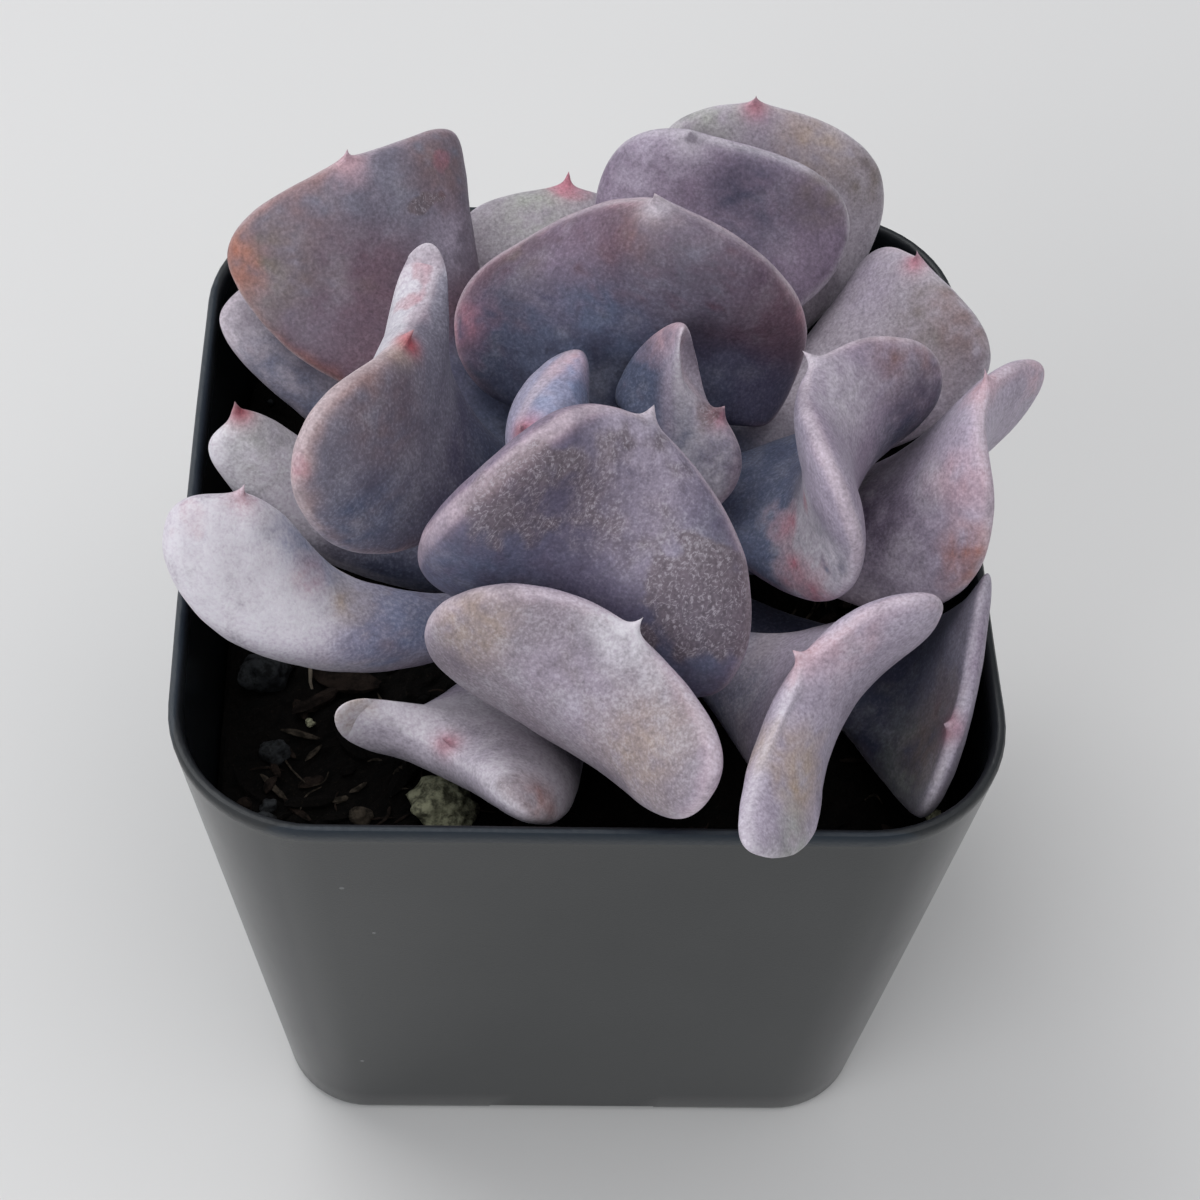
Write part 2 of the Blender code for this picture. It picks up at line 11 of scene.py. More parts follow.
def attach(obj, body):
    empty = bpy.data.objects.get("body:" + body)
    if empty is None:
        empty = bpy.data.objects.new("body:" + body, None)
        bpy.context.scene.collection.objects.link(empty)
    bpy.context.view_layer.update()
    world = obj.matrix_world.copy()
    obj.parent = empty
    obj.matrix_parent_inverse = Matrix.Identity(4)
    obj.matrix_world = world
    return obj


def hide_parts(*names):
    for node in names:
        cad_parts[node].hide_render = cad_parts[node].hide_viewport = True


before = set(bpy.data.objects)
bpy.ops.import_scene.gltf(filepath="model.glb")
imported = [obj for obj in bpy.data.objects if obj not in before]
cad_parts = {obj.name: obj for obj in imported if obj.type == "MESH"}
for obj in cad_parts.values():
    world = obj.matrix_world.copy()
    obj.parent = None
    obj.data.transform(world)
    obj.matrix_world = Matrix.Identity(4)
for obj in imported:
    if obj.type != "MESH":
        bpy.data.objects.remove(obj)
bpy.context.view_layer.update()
mm = 0.001
print("frame loaded")

# camera, in metres and degrees
shot = dict(azimuth=-3.5, elevation=53.7, roll=3.6, target=(0.00065, -0.0105, 0.058),
            distance=0.213, lens=81.9)


def addCamera():
    az, el, roll = (math.radians(shot[k]) for k in ("azimuth", "elevation", "roll"))
    back = Vector((math.sin(az) * math.cos(el), -math.cos(az) * math.cos(el), math.sin(el)))
    level = Vector((math.cos(az), math.sin(az), 0))
    above = back.cross(level)
    right = level * math.cos(roll) + above * math.sin(roll)
    up = above * math.cos(roll) - level * math.sin(roll)
    spot = Vector(shot["target"]) + back * shot["distance"]
    bpy.ops.object.camera_add(location=spot)
    camera = bpy.context.object
    camera.rotation_euler = Matrix((right, up, back)).transposed().to_euler()
    camera.data.lens = shot["lens"]
    camera.data.sensor_width = 36
    camera.data.clip_start = 0.005
    bpy.context.scene.camera = camera


# lights: place, size and the point each one faces, in metres, power in watts
studio = dict(
    window=dict(spot=(-0.35, 0.35, 0.75), size=0.6, power=3.3, colour=(0.98, 0.99, 1.0)),
    overhead=dict(spot=(0.25, -0.15, 0.85), size=0.8, power=1.9, colour=(1.0, 0.98, 0.96)),
    front=dict(spot=(-0.55, -0.50, 0.40), size=0.6, power=2.6, colour=(0.96, 0.98, 1.0)),
    sky=(0.88, 0.93, 1.0), skyPower=0.42, floor=(0.74, 0.725, 0.71),
)


def addLights():
    for name in ("window", "overhead", "front"):
        lamp = studio[name]
        bpy.ops.object.light_add(type="AREA", location=lamp["spot"])
        light = bpy.context.object
        light.name = name
        aim = Vector((0, 0, 0.05)) - Vector(lamp["spot"])
        light.rotation_euler = aim.to_track_quat("-Z", "Y").to_euler()
        light.data.size = lamp["size"]
        light.data.energy = lamp["power"]
        light.data.color = lamp["colour"]
    world = bpy.data.worlds.new("softRoom")
    world.use_nodes = True
    back = world.node_tree.nodes["Background"]
    back.inputs["Color"].default_value = (*studio["sky"], 1)
    back.inputs["Strength"].default_value = studio["skyPower"]
    bpy.context.scene.world = world
    bpy.context.scene.view_settings.view_transform = "Standard"


def deselectAll():
    bpy.ops.object.select_all(action="DESELECT")


def pick(piece):
    deselectAll()
    piece.select_set(True)
    bpy.context.view_layer.objects.active = piece


def wear(piece, finish):
    piece.data.materials.clear()
    piece.data.materials.append(finish)


def addFloor(finish):
    deselectAll()
    bpy.ops.mesh.primitive_plane_add(size=6, location=(0, 0, -0.0002))
    floor = bpy.context.object
    floor.name = "floor"
    wear(floor, finish)


# shader wiring: a Wire holds one socket, so maths on it reads as plain Python
class Wire:
    def __init__(self, tree, socket=None):
        self.tree = tree
        self.socket = socket

    def make(self, kind, settings=None, inputs=None, output=0):
        node = self.tree.nodes.new("ShaderNode" + kind)
        for key, value in (settings or {}).items():
            setattr(node, key, value)
        for key, value in (inputs or {}).items():
            feed(self.tree, node.inputs[key], value)
        return Wire(self.tree, node.outputs[output])

    def maths(self, operation, *numbers):
        return self.make("Math", dict(operation=operation), dict(enumerate(numbers)))

    def __add__(self, other):
        return self.maths("ADD", self, other)

    def __radd__(self, other):
        return self.maths("ADD", other, self)

    def __sub__(self, other):
        return self.maths("SUBTRACT", self, other)

    def __rsub__(self, other):
        return self.maths("SUBTRACT", other, self)

    def __mul__(self, other):
        return self.maths("MULTIPLY", self, other)

    def __rmul__(self, other):
        return self.maths("MULTIPLY", other, self)

    def absolute(self):
        return self.maths("ABSOLUTE", self)

    def larger(self, other):
        return self.maths("MAXIMUM", self, other)

    def rises(self, low, high):
        # 0 below low, 1 above high, and smooth between them; low may be the larger
        return self.make("MapRange", dict(interpolation_type="SMOOTHSTEP"),
                         {"Value": self, "From Min": low, "From Max": high})

    def parts(self):
        # the three numbers of a place or another vector
        node = self.make("SeparateXYZ", None, {0: self}).socket.node
        return [Wire(self.tree, output) for output in node.outputs]

    def column(self, name, output):
        # what the mesh carries at each corner: output 0 is a colour, 1 a vector
        return self.make("Attribute", dict(attribute_name=name), None, output)

    def mix(self, first, second):
        # colours, by this wire as the share of the second
        first, second = (v if isinstance(v, Wire) or len(v) == 4 else (*v, 1)
                         for v in (first, second))
        return self.make("Mix", dict(data_type="RGBA"), {0: self, 6: first, 7: second}, 2)

    def noise(self, scale, detail=2, rough=0.5, stretch=None, warp=0):
        # this wire is the place that the pattern is read at
        place = self
        if stretch:
            place = self.make("Mapping", None, {"Vector": self, "Scale": stretch})
        return self.make("TexNoise", None, {"Vector": place, "Scale": scale,
                                            "Detail": detail, "Roughness": rough,
                                            "Distortion": warp})

    def cells(self, scale):
        # the distance to the nearest of many scattered spots
        return self.make("TexVoronoi", None, {"Vector": self, "Scale": scale})


def feed(tree, socket, value):
    if isinstance(value, Wire):
        tree.links.new(value.socket, socket)
    else:
        socket.default_value = value


def newFinish(name, fixed):
    finish = bpy.data.materials.new(name)
    finish.use_nodes = True
    tree = finish.node_tree
    shader = tree.nodes["Principled BSDF"]
    for key, value in fixed.items():
        shader.inputs[key].default_value = value
    wire = Wire(tree)
    place = wire.make("TexCoord", None, None, "Object")
    return finish, shader, wire, place


def link(wire, shader, key):
    wire.tree.links.new(wire.socket, shader.inputs[key])


def addBump(wire, shader, height, strength, distance):
    bump = wire.make("Bump", None, {"Strength": strength, "Distance": distance,
                                    "Height": height})
    link(bump, shader, "Normal")


def finishFloor():
    finish, shader, wire, place = newFinish("paleFloor", {"Roughness": 0.75})
    tone = studio["floor"]
    wash = place.noise(9).rises(0.3, 0.7)
    link(wash.mix([c * 0.985 for c in tone], tone), shader, "Base Color")
    return finish


# the leaf skin: colours are linear, sizes in metres
leafFinish = dict(
    grain=0.00029, fleck=0.00052, mottle=0.0035, cloud=0.011,
    dust=(0.56, 0.54, 0.59), deep=(0.066, 0.050, 0.080),
    corky=(0.145, 0.104, 0.108), corkyFleck=(0.42, 0.375, 0.42), flush=(0.42, 0.11, 0.14),
    deepShare=0.30, flushShare=0.7, corkyShare=0.62, fleckShare=0.52, powderShare=0.32,
    grainContrast=0.46, fleckContrast=0.22, relief=0.4,
)


def finishLeaf():
    q = leafFinish
    finish, shader, wire, place = newFinish("leafSkin", {
        "Sheen Weight": 0.10, "Sheen Roughness": 0.45, "Sheen Tint": (0.9, 0.92, 1, 1),
        "Specular IOR Level": 0.38})
    painted = wire.column("skin", 0)
    corky, blush, bloom = wire.column("marks", 1).parts()
    rows = wire.column("grainPlace", 1)
    cloud = place.noise(1 / q["cloud"], 2, 0.55)
    mottle = place.noise(1 / q["mottle"], 2, 0.66)
    fleck = rows.noise(1 / q["fleck"], 1, 0.6, stretch=(1, 0.6, 1), warp=1.2)
    grain = place.noise(1 / q["grain"], 1, 0.75)
    tone = (cloud - 0.5) * 0.8 + (mottle - 0.5) * 1.1
    colour = (tone.rises(0.03, -0.28) * q["deepShare"]).mix(painted, q["deep"])
    colour = (tone.rises(0.0, 0.35) * (0.05 + bloom * 0.20)).mix(colour, q["dust"])
    # red blush
    flush = (blush + (mottle - 0.5) * 0.7).rises(0.25, 0.95)
    colour = (flush * q["flushShare"]).mix(colour, q["flush"])
    # corky patches: brown skin under short curly pale fibres, broken up at their borders
    scab = (corky + (mottle - 0.5) * 0.9).rises(0.22, 0.62)
    colour = (scab * q["corkyShare"]).mix(colour, q["corky"])
    curl = (fleck - 0.5).absolute().rises(0.050, 0.012)
    curl = scab * curl * grain.rises(0.36, 0.56) * q["fleckShare"]
    colour = curl.mix(colour, q["corkyFleck"])
    # powder: fine grain, darker and lighter than the skin by the same share
    speck = (grain - 0.5) * q["grainContrast"] + (fleck - 0.5) * q["fleckContrast"] + 0.5
    colour = wire.make("Mix", dict(data_type="RGBA", blend_type="OVERLAY"),
                       {0: 1.0, 6: colour, 7: speck}, 2)
    powder = (grain + (mottle - 0.5) * 0.35).rises(0.50, 0.74)
    powder = powder * bloom * bloom * q["powderShare"]
    colour = powder.mix(colour, q["dust"])
    link(colour, shader, "Base Color")
    addBump(wire, shader, grain * q["relief"], 0.42, 0.0002)
    link(0.50 + mottle * 0.14 + bloom * 0.08, shader, "Roughness")
    return finish


addCamera()
addLights()
addFloor(finishFloor())
print("camera and lights ready")


# the pot, in millimetres
potSizes = dict(
    top=64, foot=52, height=58, cornerTop=11.5, cornerFoot=7.5, bowRight=0.75, bowLeft=0.35,
    arc=14, straight=14, notchWidth=15, notchHeight=1, notchDepth=3,
    drain=2.8, drainOffset=16.5, wavyTop=1, waves=((0.21, 0.10), (1.1, 0.05)),
    # (height, how far in from the outer wall), up the outside and down the inside
    profile=(
        (0, 0.9), (0.12, 0.45), (0.45, 0.12), (1.0, 0), (4, 0), (12, 0), (20, 0), (28, 0),
        (36, 0), (44, 0), (50, 0), (54, 0), (56.5, 0), (57.3, 0.0), (57.75, 0.1), (57.95, 0.26),
        (58, 0.5), (57.95, 0.74), (57.75, 0.9), (57.3, 1.0), (56, 1.0), (52, 1.0), (46, 1.0),
        (38, 1.0), (28, 1.0), (16, 1.0), (2.2, 1.0),
    ),
)


def roundedSquare(side, corner, z, arc, straight):
    # counter-clockwise, from the start of the corner at +x and +y
    half = side / 2
    points = []
    for k in range(4):
        for i in range(arc + 1):
            a = math.pi / 2 * (k + i / arc)
            turn = Matrix.Rotation(math.pi / 2 * k, 3, "Z")
            centre = turn @ Vector((half - corner, half - corner, 0))
            points.append(centre + Vector((math.cos(a), math.sin(a), 0)) * corner)
        for i in range(1, straight):
            u = (half - corner) * (1 - 2 * i / straight)
            points.append(Matrix.Rotation(math.pi / 2 * k, 3, "Z") @ Vector((u, half, 0)))
    q = potSizes
    for p in points:
        p.z = z
        share = max(math.cos(math.pi * p.y / side), 0) * (z / q["height"]) ** 2
        if p.x > 0.4 * side:
            p.x -= q["bowRight"] * share
        if p.x < -0.4 * side:
            p.x -= q["bowLeft"] * share
    return points


def sideAt(z, inset=0.0):
    q = potSizes
    share = z / q["height"]
    side = q["foot"] + (q["top"] - q["foot"]) * share
    corner = q["cornerFoot"] + (q["cornerTop"] - q["cornerFoot"]) * share
    return side - 2 * inset, corner - inset


def loftPiece(name, loops):
    # a cylinder whose top is extruded once for each further loop, then set to the loops
    count = len(loops[0])
    deselectAll()
    bpy.ops.mesh.primitive_cylinder_add(vertices=count, radius=1, depth=1,
                                        location=(0, 0, 0.5), end_fill_type="NGON")
    piece = bpy.context.object
    piece.name = name
    bpy.ops.object.transform_apply(location=True, rotation=False, scale=False)
    bpy.ops.object.mode_set(mode="EDIT")
    bpy.ops.mesh.select_mode(type="FACE")
    bpy.ops.mesh.select_all(action="DESELECT")
    mesh = bmesh.from_edit_mesh(piece.data)
    for face in mesh.faces:
        face.select_set(face.normal.z > 0.9)
    bmesh.update_edit_mesh(piece.data)
    for loop in loops[2:]:
        bpy.ops.mesh.extrude_region_move(TRANSFORM_OT_translate={"value": (0, 0, 1)})
    bpy.ops.object.mode_set(mode="OBJECT")
    marks = [math.atan2(p.y, p.x) for p in roundLoop(count)]
    order = sorted(range(count), key=lambda i: marks[i])
    levels = {}
    for v in piece.data.vertices:
        levels.setdefault(round(v.co.z), []).append(v)
    for z, loop in enumerate(loops):
        verts = sorted(levels[z], key=lambda v: math.atan2(v.co.y, v.co.x))
        for v, i in zip(verts, order):
            v.co = loop[i] * mm
    piece.data.update()
    return piece


def roundLoop(count):
    start = math.pi / count
    return [Vector((math.cos(start + 2 * math.pi * i / count),
                    math.sin(start + 2 * math.pi * i / count), 0)) for i in range(count)]


def cutWith(piece, cutter):
    mod = piece.modifiers.new("cut", "BOOLEAN")
    mod.solver = "EXACT"
    mod.operation = "DIFFERENCE"
    mod.object = cutter
    pick(piece)
    bpy.ops.object.modifier_apply(modifier=mod.name)
    bpy.data.objects.remove(cutter, do_unlink=True)


def buildPot(finish):
    q = potSizes
    wavyFrom = q["height"] - q["wavyTop"]
    loops = []
    for z, inset in q["profile"]:
        loop = roundedSquare(*sideAt(z, inset), z, q["arc"], q["straight"])
        if z > wavyFrom:
            for p in loop:
                # a trimmed rim is never quite level
                wave = sum(noise.noise(p * often) * high for often, high in q["waves"])
                p.z += wave * (z - wavyFrom)
        loops.append(loop)
    pot = loftPiece("potShell", loops)
    for k in range(4):
        turn = Matrix.Rotation(k * math.pi / 2, 3, "Z")
        spot = turn @ Vector((q["foot"] / 2, 0, 0)) * mm
        bpy.ops.mesh.primitive_cube_add(size=mm, location=spot)
        notch = bpy.context.object
        notch.scale = (2 * q["notchDepth"], q["notchWidth"], 2 * q["notchHeight"])
        notch.rotation_euler.z = k * math.pi / 2
        bpy.context.view_layer.update()
        cutWith(pot, notch)
        spot = turn @ Vector((q["drainOffset"], q["drainOffset"], 0)) * mm
        bpy.ops.mesh.primitive_cylinder_add(vertices=48, radius=q["drain"] * mm,
                                            depth=0.01, location=spot)
        cutWith(pot, bpy.context.object)
    pick(pot)
    bpy.ops.object.shade_smooth_by_angle(angle=math.radians(38))
    wear(pot, finish)
    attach(pot, "root")
    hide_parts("pot")


potFinish = dict(
    wall=(0.012, 0.014, 0.015), rub=(0.022, 0.024, 0.025), rim=(0.008, 0.015, 0.024),
    inside=(0.008, 0.010, 0.012), dot=(0.24, 0.25, 0.25),
)


def finishPot():
    q = potFinish
    finish, shader, wire, place = newFinish("potPlastic", {
        "Specular IOR Level": 0.42})
    x, y, z = place.parts()
    haze = place.noise(60, 3, 0.6)
    scuffs = place.noise(420, 4, 0.7, stretch=(1, 1, 0.35))
    # the wall leans out, so its distance from the axis tells the outside from the inside
    reach = x.absolute().larger(y.absolute())
    outer = (reach - (0.026 + z * (0.006 / 0.058))).rises(-0.00075, -0.00045)
    tone = (haze - 0.5) * 0.7 + (scuffs - 0.5) * 0.35
    colour = tone.rises(-0.25, 0.3).mix(q["wall"], q["rub"])
    rim = z.rises(0.0562, 0.0575)
    colour = rim.mix(colour, q["rim"])
    # the inner wall gets a darker colour than the outer wall: painted shade inside the pot's
    # hollow
    colour = outer.mix(q["inside"], colour)
    dots = place.cells(1 / 0.0055).rises(0.045, 0.03) * haze.rises(0.5, 0.62)
    colour = (dots * 0.5).mix(colour, q["dot"])
    link(colour, shader, "Base Color")
    link(0.14 + haze * 0.10 + scuffs * 0.06 + rim * 0.2, shader, "Roughness")
    fine, rough = place.noise(5200, 2, 0.6), place.noise(1400, 2)
    addBump(wire, shader, fine * 0.25 + rim * rough * 1.6, 0.18, 0.0002)
    return finish


buildPot(finishPot())
print("pot built")


# the leaves: lengths in millimetres, angles in degrees
plainLeaf = dict(
    azimuth=0, root=54, sit=0, tip=(0, 0, 70), rise=20, end=80, heading=0, tilt=0, width=27,
    halves=(1.0, 1.0), fold=(45, 45), dips=(0, 0), thick=6.0, neck=(2.8, 3.6), flare=1.35,
    widest=0.62, blunt=2.2, pulls=(0.42, 0.42), turn=1.0, reach=2.5, start=0.1, bend=0.5,
    point=1.6,
)

# innermost first: each leaf makes way for the ones above it; halves, folds and dips are given
# for its left and right, pulls for its root and tip, neck as half its width and its thickness
leafTable = dict(
    leaf_center_left=dict(
        azimuth=200, root=64.6, sit=1.5, tip=(-5.8, -4.9, 72.4), rise=60, end=51, heading=185,
        tilt=-17, width=15.1, halves=(0.93, 1.01), fold=(-14, -20), dips=(1.3, 4.5), neck=(3, 2.4),
        flare=0.67, widest=0.47, blunt=1.87, turn=0.35, reach=-0.1),
    leaf_center_right=dict(
        azimuth=40, root=64.6, sit=1.5, tip=(10, 0.2, 69), rise=35, end=50, heading=46, tilt=17,
        width=17, fold=(-15, -15), thick=3.6, neck=(3.5, 2.4), widest=0.5, turn=0.35, reach=0),
    leaf_front_upper=dict(
        azimuth=-115, root=59, tip=(3.9, -7.3, 77.8), rise=12, end=128, heading=-105, tilt=-33,
        width=28.3, halves=(1.18, 0.76), fold=(19, 52), dips=(1.7, -2), thick=7.5, flare=1.07,
        widest=0.54, blunt=1.77, pulls=(0.84, 0.7), reach=2.3),
    leaf_right_upper=dict(
        azimuth=-5, root=58, tip=(15.3, -0.1, 75.9), rise=5, end=125, heading=-34, tilt=-10,
        width=27.5, halves=(0.82, 0.93), fold=(40, 40), dips=(-0.8, -1.9), thick=4.8, flare=1.6,
        widest=0.65, blunt=1.98, pulls=(0.6, 0.6), reach=2.1),
    leaf_left_upper=dict(
        azimuth=172, root=57.5, tip=(-13.8, 0.3, 77.1), end=87, heading=164, tilt=26, width=30.4,
        halves=(0.93, 0.78), fold=(28, 2), dips=(2.8, -4.3), thick=6.3, flare=3.09, widest=0.78,
        blunt=2.37, reach=4.9),
    leaf_back_upper=dict(
        azimuth=90, root=61, tip=(4.3, 13.0, 79.0), rise=40, end=75, heading=52, tilt=-13,
        width=29.1, halves=(0.96, 1.05), fold=(-13, 41), dips=(4.6, 1.2), thick=6.9, flare=0.6,
        widest=0.56, blunt=2.49, reach=-3.1),
    leaf_back_middle=dict(
        azimuth=68, root=58, tip=(7.8, 25.7, 73.4), rise=28, end=85, heading=78, tilt=4, width=26,
        halves=(0.57, 1.15), fold=(15, 13), dips=(0.8, 2), thick=5.8, flare=3.53, widest=0.72,
        blunt=2.28, reach=2.1),
    leaf_front_middle=dict(
        azimuth=-92, root=53.6, tip=(3.2, -21.7, 71.4), rise=-5, end=108, heading=-123, tilt=-22,
        width=30.6, halves=(0.89, 0.89), fold=(32, 21), dips=(-3.6, 2.7), thick=6.4, flare=2.66,
        widest=0.72, pulls=(0.65, 0.5), turn=0.8, reach=3),
    leaf_back_left=dict(
        azimuth=135, root=54.3, tip=(-19.9, 22.8, 73.5), rise=15, end=59, heading=121, tilt=4,
        width=30.4, halves=(0.8, 0.76), fold=(23, 13), dips=(3, -2.4), thick=5.8, flare=2.69,
        widest=0.88, blunt=2.46, reach=0.7),
    leaf_left_outer=dict(
        azimuth=-138, root=51.8, tip=(-26.4, -7.9, 68.6), rise=0, end=65, heading=111, tilt=12,
        width=17.9, halves=(0.67, 0.4), fold=(19, 70), dips=(-8.3, 2.3), thick=6.4,
        neck=(2.5, 3.6), flare=2.55, widest=0.77, blunt=2.11, pulls=(0.5, 0.4), reach=5.7),
    leaf_right_outer=dict(
        root=51, tip=(29.3, -0.1, 74.4), rise=12, end=84, heading=-32, tilt=-14, width=26,
        halves=(0.74, 0.97), fold=(22, 60), dips=(-3.8, 6.2), thick=4.8, flare=2.39, widest=0.79,
        blunt=2.27, pulls=(0.35, 0.42), turn=0.5, reach=1.7),
    leaf_front_right=dict(
        azimuth=-55, root=50.7, tip=(14.0, -23.2, 69.5), rise=6, end=98, heading=-41, tilt=28,
        width=33.1, halves=(0.68, 0.98), fold=(38, 34), dips=(1.6, -8), thick=5.8, flare=4,
        widest=0.9, blunt=2.08, pulls=(0.5, 0.5), turn=0.35),
    leaf_back_outer=dict(
        azimuth=64, root=51.6, tip=(13.6, 31.9, 71.7), rise=14, end=66, heading=85, tilt=1,
        width=23.9, halves=(0.68, 1.09), fold=(-8, 17), dips=(0.9, 3.9), thick=5.5, flare=3.93,
        widest=0.82, blunt=2.11, pulls=(0.4, 0.5), reach=2.9),
    leaf_back_right=dict(
        azimuth=31, root=54.5, tip=(26.4, 18.1, 68.0), rise=5, end=68, heading=31, tilt=-11,
        width=24.1, halves=(0.6, 0.84), fold=(26, 24), dips=(3.5, 4.1), thick=5.9, flare=2.94,
        widest=0.84, blunt=2.05, reach=4),
    leaf_back_low=dict(
        azimuth=104, root=50.9, tip=(-1.8, 30.6, 63.6), rise=0, end=33, heading=92, tilt=3,
        width=28.1, halves=(0.69, 0.42), fold=(11, 21), dips=(2.6, 0.1), flare=2.34, widest=0.84,
        blunt=2.33, reach=2.3),
    leaf_left_back=dict(
        azimuth=150, root=50.8, tip=(-24.8, 21.9, 64.3), rise=0, end=54, heading=139, tilt=-5,
        width=21, halves=(0.94, 1.04), fold=(1, 11), dips=(1.6, 1.4), thick=5, flare=2.76,
        widest=0.79, blunt=2.17, reach=6.1),
    leaf_front_low=dict(
        azimuth=-118, root=48.3, tip=(-11.5, -22.3, 56.5), rise=-3, end=55, heading=-132, tilt=17,
        width=19.3, halves=(1.02, 0.88), fold=(0, -11), dips=(0.2, -3.8), thick=6.4, neck=(2.8, 3),
        flare=1.77, widest=0.76, blunt=2.69, pulls=(0.4, 0.35), reach=7.5),
    leaf_right_low=dict(
        azimuth=-25, root=47.7, tip=(26.3, -23.0, 59.9), rise=-3, end=89, heading=-22, tilt=26,
        width=19.9, halves=(1.33, 0.71), fold=(-12, 0), dips=(2.8, 1.1), thick=3.7,
        neck=(2.2, 2.8), flare=4.46, widest=0.9, blunt=1.81, reach=3.9),
    leaf_left_low=dict(
        azimuth=180, root=48.2, tip=(-28.4, 4.7, 63.3), rise=-3, end=55, heading=149, tilt=-10,
        width=10, halves=(0.96, 0.44), fold=(23, 26), dips=(-2.9, 3.4), thick=5.2, neck=(2.2, 2.8),
        flare=1.05, widest=0.59, blunt=2.45, reach=3.8),
    leaf_back_hidden=dict(
        azimuth=124, root=47.8, tip=(-14.0, 26.0, 52.5), rise=-5, end=20, heading=118, width=16,
        fold=(5, 5), thick=3.2, neck=(2.2, 2.4), flare=2),
)

leafGrid = dict(rings=14, sides=16, gap=0.4, steps=50, stem=(1.5, 0.0), levels=3)


def smoothStep(x):
    x = np.clip(x, 0, 1)
    return x * x * (3 - 2 * x)


def lengthOne(v):
    return v / np.linalg.norm(v, axis=-1, keepdims=True)


def stemRadius(z):
    return 6.0 - 2.5 * min(max((z - 46) / 17, 0), 1)


def midrib(q, rings):
    # points and directions along the leaf, and where it ends
    az, rise = math.radians(q["azimuth"]), math.radians(q["rise"])
    out = (q["sit"] or stemRadius(q["root"])) + 0.45 + q["neck"][1] / 2 * abs(math.sin(rise))
    axis = leafGrid["stem"]
    start = np.array([axis[0] + out * math.cos(az), axis[1] + out * math.sin(az), q["root"]])
    head, lean, end = (math.radians(q[k]) for k in ("heading", "tilt", "end"))
    outward = np.array([math.cos(head), math.sin(head), 0])
    level = np.array([-math.sin(head), math.cos(head), 0])
    up = np.array([0, 0, 1.0])
    across = level * math.cos(lean) + up * math.sin(lean)
    upright = up * math.cos(lean) - level * math.sin(lean)
    last = outward * math.cos(end) + upright * math.sin(end)
    tip = np.array(q["tip"], float)
    finish = tip - (last * 0.75 + np.cross(last, across) * 0.6) * q["point"]
    chord = np.linalg.norm(finish - start)
    first = np.array([math.cos(rise) * math.cos(az), math.cos(rise) * math.sin(az),
                      math.sin(rise)])
    p1 = start + first * q["pulls"][0] * chord
    p2 = finish - last * q["pulls"][1] * chord
    t = np.linspace(0, 1, 121)[:, None]
    path = ((1 - t) ** 3 * start + 3 * t * (1 - t) ** 2 * p1
            + 3 * t * t * (1 - t) * p2 + t ** 3 * finish)
    slope = (3 * (1 - t) ** 2 * (p1 - start) + 6 * t * (1 - t) * (p2 - p1)
             + 3 * t * t * (finish - p2))
    run = np.concatenate([[0], np.cumsum(np.linalg.norm(np.diff(path, axis=0), axis=1))])
    span = run[-1]
    run = run / span
    s = 1 - (1 - np.linspace(0, 1, rings)) ** 1.7
    mid = np.stack([np.interp(s, run, path[:, k]) for k in range(3)], 1)
    along = lengthOne(np.stack([np.interp(s, run, slope[:, k]) for k in range(3)], 1))
    firstAcross = np.array([-math.sin(az), math.cos(az), 0])
    k = smoothStep(s / q["turn"])[:, None]
    wide = firstAcross * (1 - k) + across * k
    wide = lengthOne(wide - (wide * along).sum(1, keepdims=True) * along)
    return s, mid, along, wide, np.cross(along, wide), tip, span


def leafPoints(values):
    # rings of points from the base to the end of the leaf, then the base and the tip
    q = dict(plainLeaf)
    q.update(values)
    rings, sides = leafGrid["rings"], leafGrid["sides"]
    s, mid, along, wide, face, tip, span = midrib(q, rings)
    half = q["width"] / 2
    neck, neckThick = q["neck"]
    rising = np.sin(math.pi / 2 * np.clip(s / q["widest"], 0, 1)) ** q["flare"]
    falling = np.clip((s - q["widest"]) / (1 - q["widest"]), 0, 1)
    w = neck + (half - neck) * rising
    w = np.where(s < q["widest"], w, half * np.sqrt(1 - falling ** q["blunt"]))
    w = np.maximum(w, 0.75)
    t = neckThick + (q["thick"] - neckThick) * smoothStep(s / 0.4)
    t = np.maximum(t * np.sqrt(1 - np.clip((s - 0.3) / 0.7, 0, 1) ** 5), 1.3)
    turn = np.linspace(0, 2 * math.pi, sides, endpoint=False)
    x, y = np.cos(turn), np.sin(turn)
    y = np.sign(y) * np.abs(y) ** 0.8
    isLeft = x > -1e-9
    side = np.where(isLeft, 1.0, -1.0)[None, :, None]
    u = np.abs(x)[None] * w[:, None] * np.where(isLeft, *q["halves"])[None]
    fold = np.radians(np.where(isLeft, *q["fold"]))[None]
    fold = fold * smoothStep((s - q["start"]) / 0.6)[:, None]
    bend = q["bend"] * half
    steps, weights = np.polynomial.legendre.leggauss(7)
    sweep, drop = u * 0, u * 0
    for g, share in zip((steps + 1) / 2, weights / 2):
        angle = fold * smoothStep(u * g / bend)
        sweep += share * u * np.cos(angle)
        drop += share * u * np.sin(angle)
    angle = (fold * smoothStep(u / bend))[..., None]
    dip = np.where(isLeft, *q["dips"])[None]
    lead = (q["reach"] - dip) * (u / half) ** 2
    outer = face[:, None] * np.cos(angle) + wide[:, None] * side * np.sin(angle)
    points = (mid[:, None] + wide[:, None] * side * sweep[..., None]
              - face[:, None] * drop[..., None] + along[:, None] * lead[..., None]
              + outer * (y[None] * t[:, None] / 2)[..., None])
    across = np.broadcast_to(x[None], u.shape)
    place = np.stack([np.broadcast_to(s[:, None], u.shape), across,
                      np.broadcast_to(np.sin(turn)[None], u.shape),
                      u * side[..., 0], np.broadcast_to((s * span)[:, None], u.shape)], 2)
    points = np.concatenate([points.reshape(-1, 3), points[0].mean(0)[None], tip[None]])
    place = np.concatenate([place.reshape(-1, 5), [[0, 0, 0, 0, 0], [1, 0, 0, 0, span]]])
    return points, place


